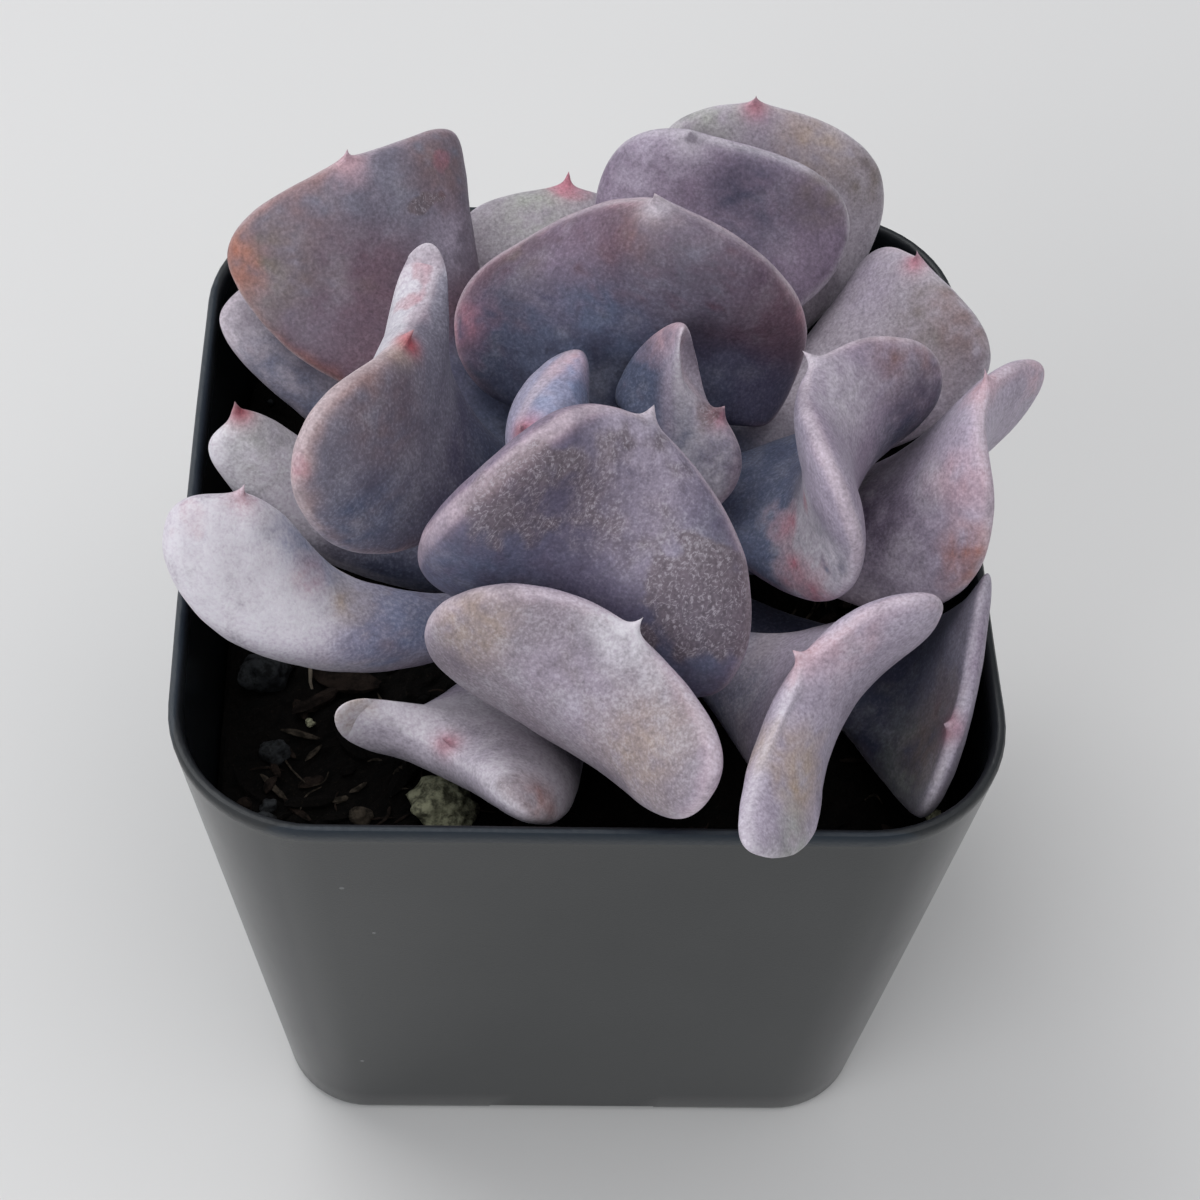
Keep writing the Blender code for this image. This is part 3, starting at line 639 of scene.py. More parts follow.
def readLeaf(name, points):
    # the solid of this leaf was leaned clear of its neighbours: find its rings of corners
    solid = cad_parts[name].data
    index, faces = {}, []
    for face in solid.polygons:
        spots = [tuple(round(c, 7) for c in solid.vertices[i].co) for i in face.vertices]
        faces.append([index.setdefault(spot, len(index)) for spot in spots])
    corners = np.array(list(index)) / mm
    rings, sides = leafGrid["rings"], leafGrid["sides"]
    if len(corners) != rings * sides + 2:
        return points
    near = [set() for _ in corners]
    for a, b, c in faces:
        near[a] |= {b, c}
        near[b] |= {a, c}
        near[c] |= {a, b}
    poles = [i for i in range(len(corners)) if len(near[i]) == sides]
    poles.sort(key=lambda i: np.linalg.norm(corners[i] - points[-1]))
    tip, base = poles[0], poles[-1]
    follows = {}
    for face in faces:
        if tip in face:
            k = face.index(tip)
            follows[face[(k + 1) % 3]] = face[(k + 2) % 3]
    ring = [next(iter(follows))]
    while len(ring) < sides:
        ring.append(follows[ring[-1]])
    used = set(ring) | {tip}
    first = next(i for i in ring if len(near[i] - used) == 1)
    k = ring.index(first)
    found = [ring[k:] + ring[:k]]
    while len(found) < rings:
        ring = found[-1]
        used |= set(ring)
        below = set().union(*(near[i] for i in ring)) - used
        new = [None] * sides
        new[0] = next(iter(near[ring[0]] & below))
        for k in range(1, sides // 2):
            new[k] = next(iter((near[ring[k]] & below) - {new[k - 1]}))
        for k in range(sides - 1, sides // 2, -1):
            new[k] = next(iter((near[ring[k]] & below) - {new[(k + 1) % sides]}))
        new[sides // 2] = next(iter(below - set(new)))
        found.append(new)
    order = [i for ring in reversed(found) for i in ring] + [base, tip]
    return corners[order]


def leafBody(name, points, place):
    # a ball with as many rings and sides as the leaf, drawn out into it and smoothed
    rings, sides = leafGrid["rings"], leafGrid["sides"]
    deselectAll()
    bpy.ops.mesh.primitive_uv_sphere_add(segments=sides, ring_count=rings + 1, radius=1)
    leaf = bpy.context.object
    leaf.name = camelName(name)
    mesh = leaf.data

    def key(v):
        turn = math.atan2(v.co.y, v.co.x) % (2 * math.pi)
        return round(v.co.z, 4), round(turn * sides / (2 * math.pi)) % sides

    order = sorted(mesh.vertices, key=key)
    order = order[1:-1] + [order[0], order[-1]]
    ranks = [v.index for v in order]
    for v, p in zip(order, points):
        v.co = Vector(p) * mm
    for n, column in zip(placeNames, place.T):
        addColumn(mesh, n, column[np.argsort(ranks)])
    crease = np.zeros(len(ranks))
    crease[ranks[-1]] = 1.0
    addColumn(mesh, "crease_vert", crease)
    smooth = leaf.modifiers.new("smooth", "SUBSURF")
    smooth.levels = smooth.render_levels = leafGrid["levels"]
    bpy.ops.object.modifier_apply(modifier=smooth.name)
    bpy.ops.object.shade_smooth()
    return leaf


def addColumn(mesh, name, values, kind="FLOAT"):
    column = mesh.attributes.new(name, kind, "POINT")
    word = {"FLOAT": "value", "FLOAT_COLOR": "color", "FLOAT_VECTOR": "vector"}[kind]
    column.data.foreach_set(word, np.asarray(values, np.float32).ravel())


placeNames = ("alongShare", "acrossShare", "faceShare", "acrossLength", "alongLength")


def camelName(name):
    first, *rest = name.split("_")
    return first + "".join(w.title() for w in rest)


# paints, linear colour
paint = dict(
    slate=(0.105, 0.122, 0.195), dusk=(0.055, 0.060, 0.105), mauve=(0.225, 0.168, 0.235),
    lilac=(0.430, 0.365, 0.455), pale=(0.600, 0.545, 0.600), rose=(0.500, 0.190, 0.240),
    pink=(0.590, 0.380, 0.430), tan=(0.450, 0.335, 0.255), olive=(0.170, 0.130, 0.110),
    brown=(0.210, 0.115, 0.110), rust=(0.450, 0.170, 0.110), green=(0.350, 0.365, 0.310),
    plum=(0.112, 0.082, 0.135), white=(0.740, 0.700, 0.750), grey=(0.192, 0.178, 0.228),
    stone=(0.385, 0.335, 0.385), umber=(0.092, 0.084, 0.140), blue=(0.230, 0.275, 0.430),
    peach=(0.560, 0.330, 0.280), red=(0.480, 0.080, 0.100), ash=(0.215, 0.175, 0.195),
    wine=(0.140, 0.080, 0.108),
)


plainSkin = dict(
    foot="slate", body="mauve", crown="lilac", under="lilac", underShare=0.6,
    rise=(0.15, 0.75),
    left=("pink", 0.5, 1.2), right=("pink", 0.5, 1.2), tip=("rose", 0.8, 1.1),
    rimLine=("pale", 0.40, 0.42), bloom=0.5, marks=[],
)

leafSkins = dict(
    leaf_front_upper=dict(
        foot="slate", body="plum", crown="mauve", under="umber", underShare=0.85,
        left=("pink", 0.3, 0.7), right=("pink", 0.5, 0.8), bloom=0.35, tip=("pale", 0.7, 1.3),
        marks=[("corky", .66, -.95, -1, 6, .6), ("corky", .70, .78, -1, 5.5, .75),
               ("lilac", .86, .30, -1, 4.5, .4), ("lilac", .74, .40, -1, 3.5, .4),
               ("dust", .82, .35, -1, 5, .5),
               ("slate", .51, -.72, -1, 6, .7), ("slate", .57, .78, -1, 5, .5),
               ("lilac", .98, .09, -1, 5, .6), ("corky", .80, .0, -1, 6, .45)]),
    leaf_front_middle=dict(
        body="lilac", crown="lilac", under="ash", underShare=0.8,
        left=("pink", 0.4, 1.0), right=("pink", 0.3, 1.0), bloom=0.75, tip=("white", 0.6, 2.2),
        marks=[("tan", .85, -.87, -1, 4, .5), ("tan", .82, .59, -1, 4, .4),
               ("white", 1, -.53, -1, 3.5, .6), ("lilac", .85, -.19, -1, 5, .5)]),
    leaf_back_upper=dict(
        foot="dusk", body="umber", crown="wine", rise=(0.2, 0.8), bloom=0.4,
        left=("pink", 0.55, 1.2), right=("pink", 0.4, 1.0), tip=("pale", 0.7, 1.5),
        marks=[("slate", .34, .12, 1, 9, .8), ("rose", .46, .93, 1, 2.4, .5),
               ("brown", .95, -.05, 1, 4, .4), ("mauve", .84, .64, 1, 5, .6),
               ("grey", .80, -.30, 1, 6, .6), ("plum", .93, -.93, 1, 3.5, .4),
               ("rose", .82, -.99, 1, 2, .3), ("olive", .75, .78, 1, 3, .3)]),
    leaf_left_upper=dict(
        foot="slate", body="umber", crown="grey", under="white", underShare=0.75, bloom=0.6,
        left=("peach", 0.6, 1.4), right=("pink", 0.35, 1.0), tip=("red", 0.95, 1.1),
        marks=[("brown", .93, .55, 1, 6, .35), ("slate", .69, .82, 1, 5, .7),
               ("rose", .84, 1, 1, 1.6, .5), ("tan", 1, .95, 1, 2.2, .4),
               ("pale", .88, -.98, -1, 3, .6), ("blush", .91, -.95, -1, 0.9, .6),
               ("blush", .96, -.85, -1, 0.9, .6)]),
    leaf_back_left=dict(
        foot="slate", body="wine", crown="grey", rise=(0.2, 0.9), bloom=0.3,
        left=("rust", 0.6, 1.4), right=("pink", 0.3, 1.0), tip=("pink", 0.9, 1.2),
        marks=[("wine", .72, .34, 1, 7, .6), ("olive", .86, .71, 1, 4.5, .6),
               ("rust", .89, .94, 1, 2.6, .6), ("brown", .92, -.73, 1, 4, .6),
               ("blush", .89, -.72, 1, 1.3, .6), ("lilac", .67, -.58, 1, 3, .4),
               ("corky", .82, -.36, 1, 1, .8), ("pink", .98, .03, 1, 2, .4),
               ("brown", .93, .44, 1, 4, .4)]),
    leaf_left_back=dict(
        foot="dusk", body="slate", crown="stone", bloom=0.4, left=("pink", 0.3, 0.9),
        right=("pink", 0.3, 0.9),
        marks=[("pale", .83, .87, 1, 4, .5), ("slate", .62, .95, 1, 5, .6)]),
    leaf_left_low=dict(
        body="grey", crown="pale", tip=("red", 0.9, 1.2), bloom=0.6,
        left=("pale", 0.4, 1.0), right=("tan", 0.3, 1.0),
        marks=[("white", .89, .94, 1, 3, .6), ("green", .88, .18, 1, 4, .3)]),
    leaf_left_outer=dict(
        foot="blue", body="lilac", crown="white", under="lilac", rise=(0.1, 0.8), bloom=0.9,
        left=("pale", 0.4, 1.2), right=("white", 0.4, 1.2), tip=("pink", 0.8, 1.3),
        # its blue marks are painted shade on the narrow slope beyond its ridge, which turns away
        # from the light
        marks=[("blue", .42, .93, 1, 4, .6), ("pale", .82, .59, 1, 8, .4),
               ("blue", .84, -.63, 1, 2.6, .4), ("blue", .72, -.60, 1, 3, .5),
               ("pink", .74, -.25, 1, 1.8, .5), ("tan", .60, -.02, 1, 1.8, .6),
               ("blush", .92, .85, 1, 1.6, .5), ("blue", .45, -.3, 1, 5, .35)]),
    leaf_right_upper=dict(
        foot="slate", body="grey", crown="lilac", under="mauve", bloom=0.5, rise=(0.35, 0.85),
        left=("pink", 0.4, 0.8), right=("pink", 0.35, 0.7), tip=("pale", 0.7, 1.2),
        # the four pale marks on the inner face are painted light, lifting the shade in the hollow
        # under the near arm
        marks=[("pale", .57, -.52, 1, 3.2, .9), ("pale", .49, -.82, 1, 3, .9),
               ("pale", .67, -.45, 1, 2.6, .8), ("pale", .59, -.88, 1, 3, .8),
               ("grey", .88, -.60, 1, 4, .4),
               ("rose", .66, -.42, 1, 1.0, .7), ("rose", .50, -.42, 1, 1.5, .8),
               ("rose", .45, -.75, 1, 1.5, .8), ("rose", .48, -.95, 1, 1.4, .7),
               ("pale", .90, -.06, -1, 4, .5), ("brown", .88, .92, -1, 4, .5),
               # the dusk mark is painted shadow on the outer face of the far lobe
               ("dusk", .61, .60, -1, 5, .8)]),
    leaf_right_outer=dict(
        foot="slate", body="stone", crown="lilac", under="lilac", bloom=0.55,
        left=("pink", 0.45, 1.2), right=("pink", 0.4, 1.2), tip=("pink", 0.8, 1.3),
        marks=[("plum", .60, -.40, 1, 5, .7), ("pale", .83, -.41, 1, 2.4, .6),
               ("pale", .70, -.66, 1, 2.2, .5), ("pink", 1, -.59, 1, 2.5, .7),
               ("pink", .91, -.64, 1, 3, .6), ("rust", .85, -.91, 1, 3, .6),
               ("pink", .91, .89, -1, 2, .6), ("lilac", .76, .61, -1, 4, .4)]),
    leaf_front_right=dict(
        foot="slate", body="stone", crown="lilac", under="lilac", underShare=0.7, bloom=0.75,
        left=("pink", 0.45, 1.1), right=("pale", 0.4, 1.2), tip=("pink", 0.8, 1.6),
        marks=[("slate", .52, -.24, 1, 3, .5), ("pink", 1, -.23, 1, 2.6, .5),
               ("tan", .91, -.53, -1, 3.5, .7), ("pink", .97, .47, -1, 3, .4),
               ("lilac", .94, .97, -1, 4, .4), ("green", .80, -.93, -1, 3, .5),
               ("tan", .96, -.6, 1, 3, .5)]),
    leaf_front_low=dict(
        foot="slate", body="lilac", crown="pale", bloom=0.7, left=("pale", 0.3, 1.0),
        right=("pale", 0.3, 1.0), tip=("rose", 0.8, 1.1),
        marks=[("rust", .77, .94, 1, 2.4, .4), ("corky", .90, .96, 1, 2.5, .6),
               ("white", .88, -.98, -1, 3, .5), ("lilac", .98, .49, 1, 4, .4),
               ("tan", .88, -.98, 1, 3, .5)]),
    leaf_right_low=dict(
        # its dusk foot and body are painted shade: this low leaf lies in the shadow of the leaves
        # above it
        foot="dusk", body="dusk", crown="grey", rise=(0.4, 1.0), bloom=0.4,
        left=("lilac", 0.4, 1.0), right=("lilac", 0.4, 1.0),
        marks=[("green", .84, -.40, 1, 5, .5), ("mauve", .98, .99, -1, 4, .5),
               ("brown", .9, -.1, 1, 4, .5)]),
    leaf_back_middle=dict(
        foot="slate", body="plum", crown="mauve", bloom=0.35, left=("pale", 0.4, 0.9),
        right=("pale", 0.5, 0.9), tip=("pale", 0.7, 1.5),
        marks=[("dusk", .83, -.39, 1, 5, .6), ("lilac", .89, .54, 1, 4, .6),
               ("lilac", .95, .1, 1, 3, .4), ("olive", .86, -.86, 1, 3, .5)]),
    leaf_back_outer=dict(
        foot="slate", body="mauve", crown="stone", bloom=0.4, left=("pale", 0.5, 0.9),
        right=("pale", 0.5, 0.9),
        marks=[("green", .97, .95, 1, 4, .5), ("olive", .87, -.82, 1, 3.5, .6),
               ("mauve", .98, -.36, 1, 4, .4), ("tan", .93, -.5, 1, 4, .5)]),
    leaf_back_low=dict(
        foot="slate", body="grey", crown="stone", bloom=0.6, tip=("rose", 0.9, 1.4),
        left=("pale", 0.4, 0.9), right=("pale", 0.4, 0.9),
        marks=[("green", .92, .36, 1, 4, .5), ("rose", 1, .08, 1, 1.5, .9)]),
    leaf_back_right=dict(
        foot="slate", body="stone", crown="stone", bloom=0.4, left=("pink", 0.4, 0.9),
        right=("pale", 0.4, 0.9),
        marks=[("olive", .92, -.49, 1, 5, .5), ("lilac", .87, .33, 1, 4, .5),
               ("brown", .96, -.84, 1, 3, .5)]),
    leaf_center_left=dict(
        foot="slate", body="slate", crown="blue", bloom=0.5, left=("pink", 0.4, 0.8),
        right=("pink", 0.4, 0.8), tip=("rose", 0.9, 1.4),
        marks=[("pink", .73, -.99, 1, 3, .5), ("lilac", .94, -.86, 1, 3, .4)]),
    leaf_center_right=dict(
        foot="slate", body="lilac", crown="pale", bloom=0.5, left=("pink", 0.4, 0.8),
        right=("pink", 0.5, 1.0), tip=("rose", 0.7, 1.2),
        marks=[("pink", .34, .96, 1, 2.5, .6), ("corky", .98, .34, 1, 1.3, .7),
               ("slate", .82, -.20, 1, 4, .5), ("plum", .89, -.76, 1, 2.5, .5)]),
    leaf_back_hidden=dict(foot="dusk", body="slate", crown="grey", bloom=0.4),
)


def paintLeaf(leaf, name):
    q = dict(plainSkin)
    q.update(leafSkins.get(name, {}))
    mesh = leaf.data
    count = len(mesh.vertices)
    spots = np.zeros(count * 3, np.float32)
    mesh.vertices.foreach_get("co", spots)
    spots = spots.reshape(-1, 3) / mm
    place = {}
    for n in placeNames:
        column = np.zeros(count, np.float32)
        mesh.attributes[n].data.foreach_get("value", column)
        place[n] = column
    along, across, side = (place[n] for n in placeNames[:3])
    shift = Vector((chance(name, 1) * 40, chance(name, 2) * 40, 0))
    wander = np.array([noise.noise(Vector(p) * 0.16 + shift) for p in spots])
    ripple = np.array([noise.noise(Vector(p) * 0.6 + shift) for p in spots])
    crumbs = np.array([noise.noise(Vector(p) * 1.4 + shift) for p in spots])
    low, high = q["rise"]
    where = along + wander * 0.16
    foot, body, crown, under = (np.array(paint[q[k]]) for k in ("foot", "body", "crown", "under"))
    share = smoothStep((where - low) / (high - low))[:, None]
    colour = foot + (body - foot) * smoothStep(share * 2)
    colour += (crown - colour) * smoothStep(share * 2 - 1)
    colour += (under - colour) * (smoothStep(-side * 2) * q["underShare"])[:, None]
    margin = (np.abs(side) < 0.1) & (along > 0.12)
    for want, words in ((1, q["left"]), (-1, q["right"])):
        tone, strength, width = words
        tree = KDTree(int((margin & (across * want > -0.2)).sum()))
        for i in np.nonzero(margin & (across * want > -0.2))[0]:
            tree.insert(spots[i], i)
        tree.balance()
        gap = np.array([tree.find(p)[2] for p in spots])
        mask = np.exp(-(gap / (width * (0.6 + ripple * 0.45))) ** 2) * strength
        mask *= smoothStep((along - 0.15) / 0.2)
        colour += (np.array(paint[tone]) - colour) * mask[:, None]
        tone, strength, width = q["rimLine"]
        mask = np.exp(-(gap / width) ** 2) * strength * smoothStep((along - 0.3) / 0.3)
        colour += (np.array(paint[tone]) - colour) * mask[:, None]
    corky, blush, bloom = np.zeros(count), np.zeros(count), np.full(count, q["bloom"])
    for kind, s, x, facing, radius, strength in q["marks"]:
        miss = (along - s) ** 2 + ((across - x) * 0.5) ** 2 + (side * facing < 0) * 4
        centre = spots[np.argmin(miss)]
        gap = np.linalg.norm(spots - centre, axis=1) / radius
        gap = gap * (1 + ripple * 0.6 + wander * 0.5 + crumbs * 0.25)
        mask = smoothStep(1.4 - gap) * smoothStep(side * facing * 1.5 + 0.75) * strength
        if kind == "corky":
            corky = np.maximum(corky, mask)
        elif kind == "blush":
            blush = np.maximum(blush, mask)
        elif kind == "dust":
            bloom = np.clip(bloom + mask, 0, 1)
        else:
            mask = np.clip(mask * (0.85 + ripple * 0.9 + crumbs * 0.6), 0, 1)
            colour += (np.array(paint[kind]) - colour) * mask[:, None]
    tone, strength, reach = q["tip"]
    gap = np.linalg.norm(spots - spots[np.argmax(along)], axis=1)
    mask = np.exp(-(gap / reach) ** 2) * strength
    colour += (np.array(paint[tone]) - colour) * mask[:, None]
    bloom = bloom * (1 - mask)
    addColumn(mesh, "skin", np.concatenate([colour, np.ones((count, 1))], 1), "FLOAT_COLOR")
    addColumn(mesh, "marks", np.stack([corky, blush, bloom], 1), "FLOAT_VECTOR")
    rows = np.stack([place["acrossLength"], place["alongLength"], side * 4], 1) * mm
    addColumn(mesh, "grainPlace", rows + chance(name, 3), "FLOAT_VECTOR")
    for n in placeNames:
        mesh.attributes.remove(mesh.attributes[n])


def chance(name, salt):
    return random.Random(name + str(salt)).random()


def rippleLeaf(leaf, name):
    # slow swellings and a slightly wavy margin
    shift = Vector((chance(name, 5) * 30, chance(name, 6) * 30, 3))
    mesh = leaf.data
    normals = [v.normal.copy() for v in mesh.vertices]
    for v, normal in zip(mesh.vertices, normals):
        p = v.co / mm
        lift = noise.noise(p * 0.17 + shift) * 0.16 + noise.noise(p * 0.5 + shift) * 0.06
        v.co += normal * lift * mm
    mesh.update()


leafSkin = finishLeaf()
for name, values in leafTable.items():
    points, place = leafPoints(values)
    leaf = leafBody(name, readLeaf(name, points), place)
    rippleLeaf(leaf, name)
    paintLeaf(leaf, name)
    wear(leaf, leafSkin)
    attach(leaf, "root")
    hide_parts(name)
print("leaves built")


# the soil, in millimetres: what lies on it is (x, y, turn, length, width, thickness, tone)
soilSizes = dict(
    levels=(2.5, 16, 30, 42, 44.6, 45.2), wall=1.3, high=45.15,
    inward=(0.02, 0.06, 0.12, 0.19, 0.26, 0.34, 0.42, 0.5, 0.58, 0.66, 0.75, 0.84, 0.93, 1.0),
    stem=(1.5, 0.0), bore=6.6, boreLow=34,
    crumbs=((1.7, 0.55), (0.8, 0.28)), seed=7, chips=150, fibres=190, grains=46,
    laid=(
        (-23, -15.2, -0.2, 3.1, 0.6, 0.35, "straw"), (-21.9, -16.6, 0.9, 1.9, 0.5, 0.3, "straw"),
        (-24.9, -20.1, -0.8, 3, 0.6, 0.35, "straw"), (-22.9, -22.2, -0.75, 3, 0.7, 0.4, "bark"),
        (-19.7, -21, 0.25, 1.7, 0.6, 0.4, "straw"), (-18.2, -20.1, 0.55, 1.6, 0.45, 0.3, "straw"),
        (-19.6, -9.8, -0.2, 5.6, 2.6, 0.9, "bark"), (-24.8, -18.4, -1.2, 1.8, 0.7, 0.5, "bark"),
        (-23.2, -12.6, -1.1, 2.4, 1.0, 0.5, "bark"), (-14.9, -18.5, 0.5, 1.4, 0.5, 0.35, "straw"),
        (-22.0, -12.0, 0.6, 4.4, 1.3, 0.8, "bark"), (-19.0, -16.0, 2.2, 4.2, 1.2, 0.8, "peat"),
        (-14.5, -19.0, 1.0, 4.6, 1.4, 0.8, "peat"), (-22.0, -21.5, 0.2, 4.0, 1.2, 0.8, "peat"),
        (-17.0, -24.5, 2.7, 4.6, 1.3, 0.8, "bark"), (-10.0, -25.5, 0.4, 4.4, 1.2, 0.8, "peat"),
        (-13.0, -27.0, 2.9, 4.2, 1.2, 0.7, "bark"), (22.0, -26.5, 1.2, 4.0, 1.3, 0.8, "peat"),
        (24.8, -24.6, 2.4, 4.0, 1.2, 0.8, "bark"),
    ),
    # (x, y, radius, tone)
    lumps=((-11.3, -21.9, 2.2, "perlite"), (-26.3, -9.2, 1.7, "ash"), (-25.0, -17.0, 1.0, "ash"),
           (-25.5, -24, 1.1, "ash"), (-6.5, -27, 1.2, "perlite"), (27.6, -21.9, 0.55, "perlite"),
           (-25.2, -21.7, 0.6, "ash"), (-17.9, -22.9, 0.8, "straw"),
           (-22.3, -14.1, 0.35, "perlite"),
           (12.0, 24.0, 1.3, "perlite"), (-20.0, 25.5, 1.0, "perlite"), (24.5, 8.0, 0.9, "ash")),
    root=((-22.8, -7.6, 46.9), (-22.7, -8.4, 46.7), (-22.5, -9.3, 46.2), (-22.5, -10.1, 45.6),
          (-22.3, -10.6, 45.0)),
    tones=dict(peat=(0.0032, 0.0024, 0.0020), bark=(0.022, 0.015, 0.012),
               straw=(0.062, 0.050, 0.038), perlite=(0.42, 0.42, 0.28),
               ash=(0.038, 0.041, 0.044), root=(0.26, 0.22, 0.17)),
)


def soilHeight(x, y):
    lumps = (0.35 * math.sin(0.55 * x + 1.3) * math.cos(0.47 * y - 0.4)
             + 0.22 * math.sin(1.3 * x - 0.8 * y) + 0.16 * math.cos(1.9 * y + 0.7 * x))
    return soilSizes["high"] + lumps * 0.7


def crumbled(p):
    # how far the crumbs of peat stand out at a place on the top
    lift = 0
    for size, height in soilSizes["crumbs"]:
        lift += (0.42 - noise.voronoi(p / size)[0][0]) * height
    return lift + noise.noise(p * 2.3) * 0.1


def tinted(piece, tone):
    colour = soilSizes["tones"][tone]
    addColumn(piece.data, "skin", [(*colour, 1)] * len(piece.data.vertices), "FLOAT_COLOR")
    return piece


def splinter(name, seed, bow):
    # one millimetre long, wide and thick, ragged at its ends
    rule = random.Random(seed)
    loops = []
    for k in range(6):
        r = 0.5 * (0.35, 0.85, 1.0, 0.95, 0.8, 0.3)[k]
        middle = Vector((k / 5 - 0.5, bow * math.sin(math.pi * k / 5), rule.uniform(-0.1, 0.1)))
        loops.append([middle + Vector((rule.uniform(-0.04, 0.04),
                                       r * rule.uniform(0.8, 1.2) * math.cos(a),
                                       r * rule.uniform(0.8, 1.2) * math.sin(a)))
                      for a in (math.pi / 3 * (i + 0.5) for i in range(6))])
    return loftPiece(name, loops)


def laidCopy(master, spot, turn, tilt, size):
    copy = master.copy()
    copy.data = master.data.copy()
    bpy.context.collection.objects.link(copy)
    move = (Matrix.Translation(Vector(spot) * mm) @ Matrix.Rotation(turn, 4, "Z")
            @ Matrix.Rotation(tilt, 4, "Y") @ Matrix.Diagonal((*size, 1)))
    copy.data.transform(move)
    return copy


def lumpPiece(spot, radius, seed):
    deselectAll()
    finer = 4 if radius > 1.5 else 3
    bpy.ops.mesh.primitive_ico_sphere_add(subdivisions=finer, radius=radius * mm)
    lump = bpy.context.object
    shift = Vector((seed * 3.1, seed * 1.7, 0))
    for v in lump.data.vertices:
        p = v.co / mm
        pits = noise.voronoi(p / (radius * 0.42) + shift)[0][0]
        swell = 1 + noise.noise(p / radius * 1.1 + shift) * 0.45 - (0.45 - pits) * 0.35
        v.co = Vector((v.co.x * 1.15, v.co.y, v.co.z * 0.8)) * swell + Vector(spot) * mm
    bpy.ops.object.shade_smooth()
    return lump


def topPlace(rule):
    # anywhere on the soil but the corners and the stem's bore
    while True:
        x, y = rule.uniform(-28, 27.6), rule.uniform(-28, 28)
        far = math.hypot(max(abs(x) - 19, 0), max(abs(y) - 19, 0)) < 8.6
        if far and math.hypot(x - soilSizes["stem"][0], y) > soilSizes["bore"] + 1.2:
            return x, y


def buildSoil(finish):
    q = soilSizes
    arc, straight = potSizes["arc"], potSizes["straight"]
    *loops, edge = [roundedSquare(*sideAt(z, q["wall"]), z, arc, straight) for z in q["levels"]]
    axis = Vector((*q["stem"], 0))
    ways = [Vector((p.x, p.y, 0)).normalized() for p in edge]
    for share in q["inward"]:
        loop = []
        for p, way in zip(edge, ways):
            spot = p.lerp(axis + way * q["bore"], share)
            spot.z = soilHeight(spot.x, spot.y)
            loop.append(spot)
        loops.append(loop)
    loops.append([axis + way * (q["bore"] - 0.1) + Vector((0, 0, q["boreLow"])) for way in ways])
    soil = loftPiece("soilBed", loops)
    finer = soil.modifiers.new("finer", "SUBSURF")
    finer.subdivision_type = "SIMPLE"
    finer.levels = finer.render_levels = 2
    pick(soil)
    bpy.ops.object.modifier_apply(modifier=finer.name)
    for v in soil.data.vertices:
        p = v.co / mm
        if p.z > 44.3 and math.hypot(p.x - axis.x, p.y) > q["bore"] + 0.05:
            v.co.z += crumbled(p) * mm
    tinted(soil, "peat")
    rule = random.Random(q["seed"])
    flat = [splinter("chip%d" % k, k, 0.1 * (k - 1)) for k in range(3)]
    thin = [splinter("fibre%d" % k, 9 + k, 1.3 * (k - 1)) for k in range(4)]
    bits = []
    for x, y, turn, length, width, thick, tone in q["laid"]:
        spot = (x, y, soilHeight(x, y) + 0.2)
        bits.append(tinted(laidCopy(rule.choice(flat), spot, turn, rule.uniform(-0.12, 0.12),
                                    (length, width, thick)), tone))
    for k in range(q["chips"] + q["fibres"]):
        x, y = topPlace(rule)
        spot = (x, y, soilHeight(x, y) + rule.uniform(0.1, 0.35))
        if k < q["chips"]:
            size = (rule.uniform(1.0, 2.8), rule.uniform(0.4, 1.1), rule.uniform(0.25, 0.55))
            tone = rule.choice(("peat", "peat", "bark"))
            master = rule.choice(flat)
        else:
            size = (rule.uniform(1.4, 4.2), rule.uniform(0.14, 0.3), rule.uniform(0.12, 0.22))
            tone = rule.choice(("peat", "bark", "bark", "straw"))
            master = rule.choice(thin)
        bits.append(tinted(laidCopy(master, spot, rule.uniform(0, 6.3),
                                    rule.uniform(-0.3, 0.3), size), tone))
    for k, (x, y, radius, tone) in enumerate(q["lumps"]):
        spot = (x, y, soilHeight(x, y) + radius * 0.35)
        bits.append(tinted(lumpPiece(spot, radius, k), tone))
    for k in range(q["grains"]):
        x, y = topPlace(rule)
        radius = rule.uniform(0.25, 0.6)
        spot = (x, y, soilHeight(x, y) + radius * 0.3)
        bits.append(tinted(lumpPiece(spot, radius, 20 + k), rule.choice(("ash", "bark", "peat"))))
    loops = []
    for k, spot in enumerate(q["root"]):
        r = 0.22 - 0.03 * k
        loops.append([Vector(spot) + Vector((r * math.cos(a), r * 0.6 * math.sin(a),
                                             r * 0.8 * math.sin(a)))
                      for a in (-math.pi / 3 * i for i in range(6))])
    bits.append(tinted(loftPiece("root", loops), "root"))
    for master in flat + thin:
        bpy.data.objects.remove(master, do_unlink=True)
    deselectAll()
    for piece in bits + [soil]:
        piece.select_set(True)
    bpy.context.view_layer.objects.active = soil
    bpy.ops.object.join()
    wear(soil, finish)
    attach(soil, "root")
    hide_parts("soil")


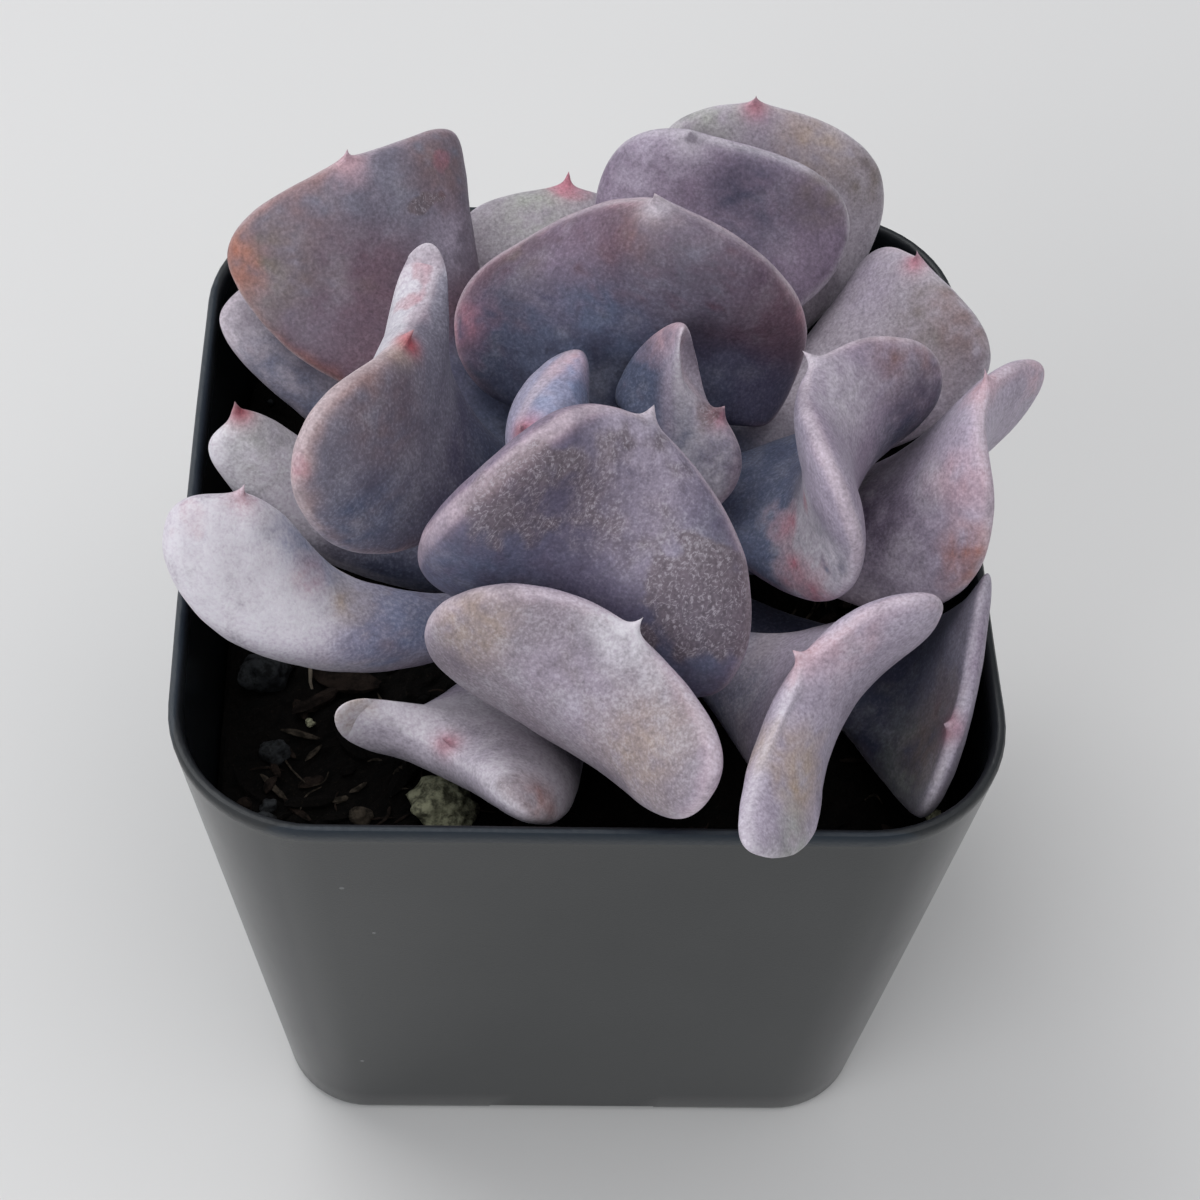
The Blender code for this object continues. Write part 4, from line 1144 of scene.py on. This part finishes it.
def finishSoil():
    finish, shader, wire, place = newFinish("peatSoil", {
        "Specular IOR Level": 0.12, "Roughness": 0.95})
    painted = wire.column("skin", 0)
    crumb = place.noise(1100, 3, 0.65)
    fine = place.noise(4200, 2, 0.6)
    colour = (crumb.rises(0.62, 0.36) * 0.75).mix(painted, (0.0010, 0.0009, 0.0008))
    colour = (fine.rises(0.60, 0.72) * 0.35).mix(colour, (0.022, 0.017, 0.013))
    link(colour, shader, "Base Color")
    addBump(wire, shader, crumb * 0.8 + fine * 0.4, 0.7, 0.0003)
    return finish


buildSoil(finishSoil())
print("soil built")


# the stem, in millimetres: (height, radius) up the side
stemSizes = dict(axis=(1.5, 0.0), sides=40, scar=0.10, scarStep=2.1,
                 rows=((35, 4.0), (40, 5.4), (46, 6.0), (61, 3.74), (62.6, 3.2), (63.2, 1.6),
                       (65.2, 0.7)))


def buildStem(finish):
    q = stemSizes
    heights, radii = zip(*q["rows"])
    loops = []
    for z in np.concatenate([np.arange(35, 61, 0.5), [61, 62, 62.6, 62.9, 63.2, 64, 65.2]]):
        r = float(np.interp(z, heights, radii)) - 0.02
        if 46 < z < 61:
            # rings where old leaves dropped off
            r += q["scar"] * (max(math.sin(2 * math.pi * z / q["scarStep"]), 0) ** 3 - 0.5)
        loops.append([Vector((q["axis"][0] + r * math.cos(a), q["axis"][1] + r * math.sin(a), z))
                      for a in (2 * math.pi * k / q["sides"] for k in range(q["sides"]))])
    stem = loftPiece("stemBody", loops)
    pick(stem)
    bpy.ops.object.shade_smooth_by_angle(angle=math.radians(50))
    wear(stem, finish)
    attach(stem, "root")
    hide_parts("stem")


def finishStem():
    finish, shader, wire, place = newFinish("stemSkin", {"Specular IOR Level": 0.3})
    streak = place.noise(420, 3, 0.6, stretch=(1, 1, 0.25))
    patch = place.noise(160, 2)
    colour = streak.rises(0.36, 0.66).mix((0.075, 0.055, 0.045), (0.21, 0.17, 0.14))
    colour = (patch.rises(0.5, 0.7) * 0.5).mix(colour, (0.16, 0.18, 0.12))
    # the growing point at the top has the leaves' slate blue
    x, y, z = place.parts()
    colour = (z.rises(0.0575, 0.0615) * 0.85).mix(colour, (0.13, 0.13, 0.19))
    link(colour, shader, "Base Color")
    link(0.7 + streak * 0.2, shader, "Roughness")
    addBump(wire, shader, streak, 0.5, 0.0003)
    return finish


buildStem(finishStem())
print("stem built")
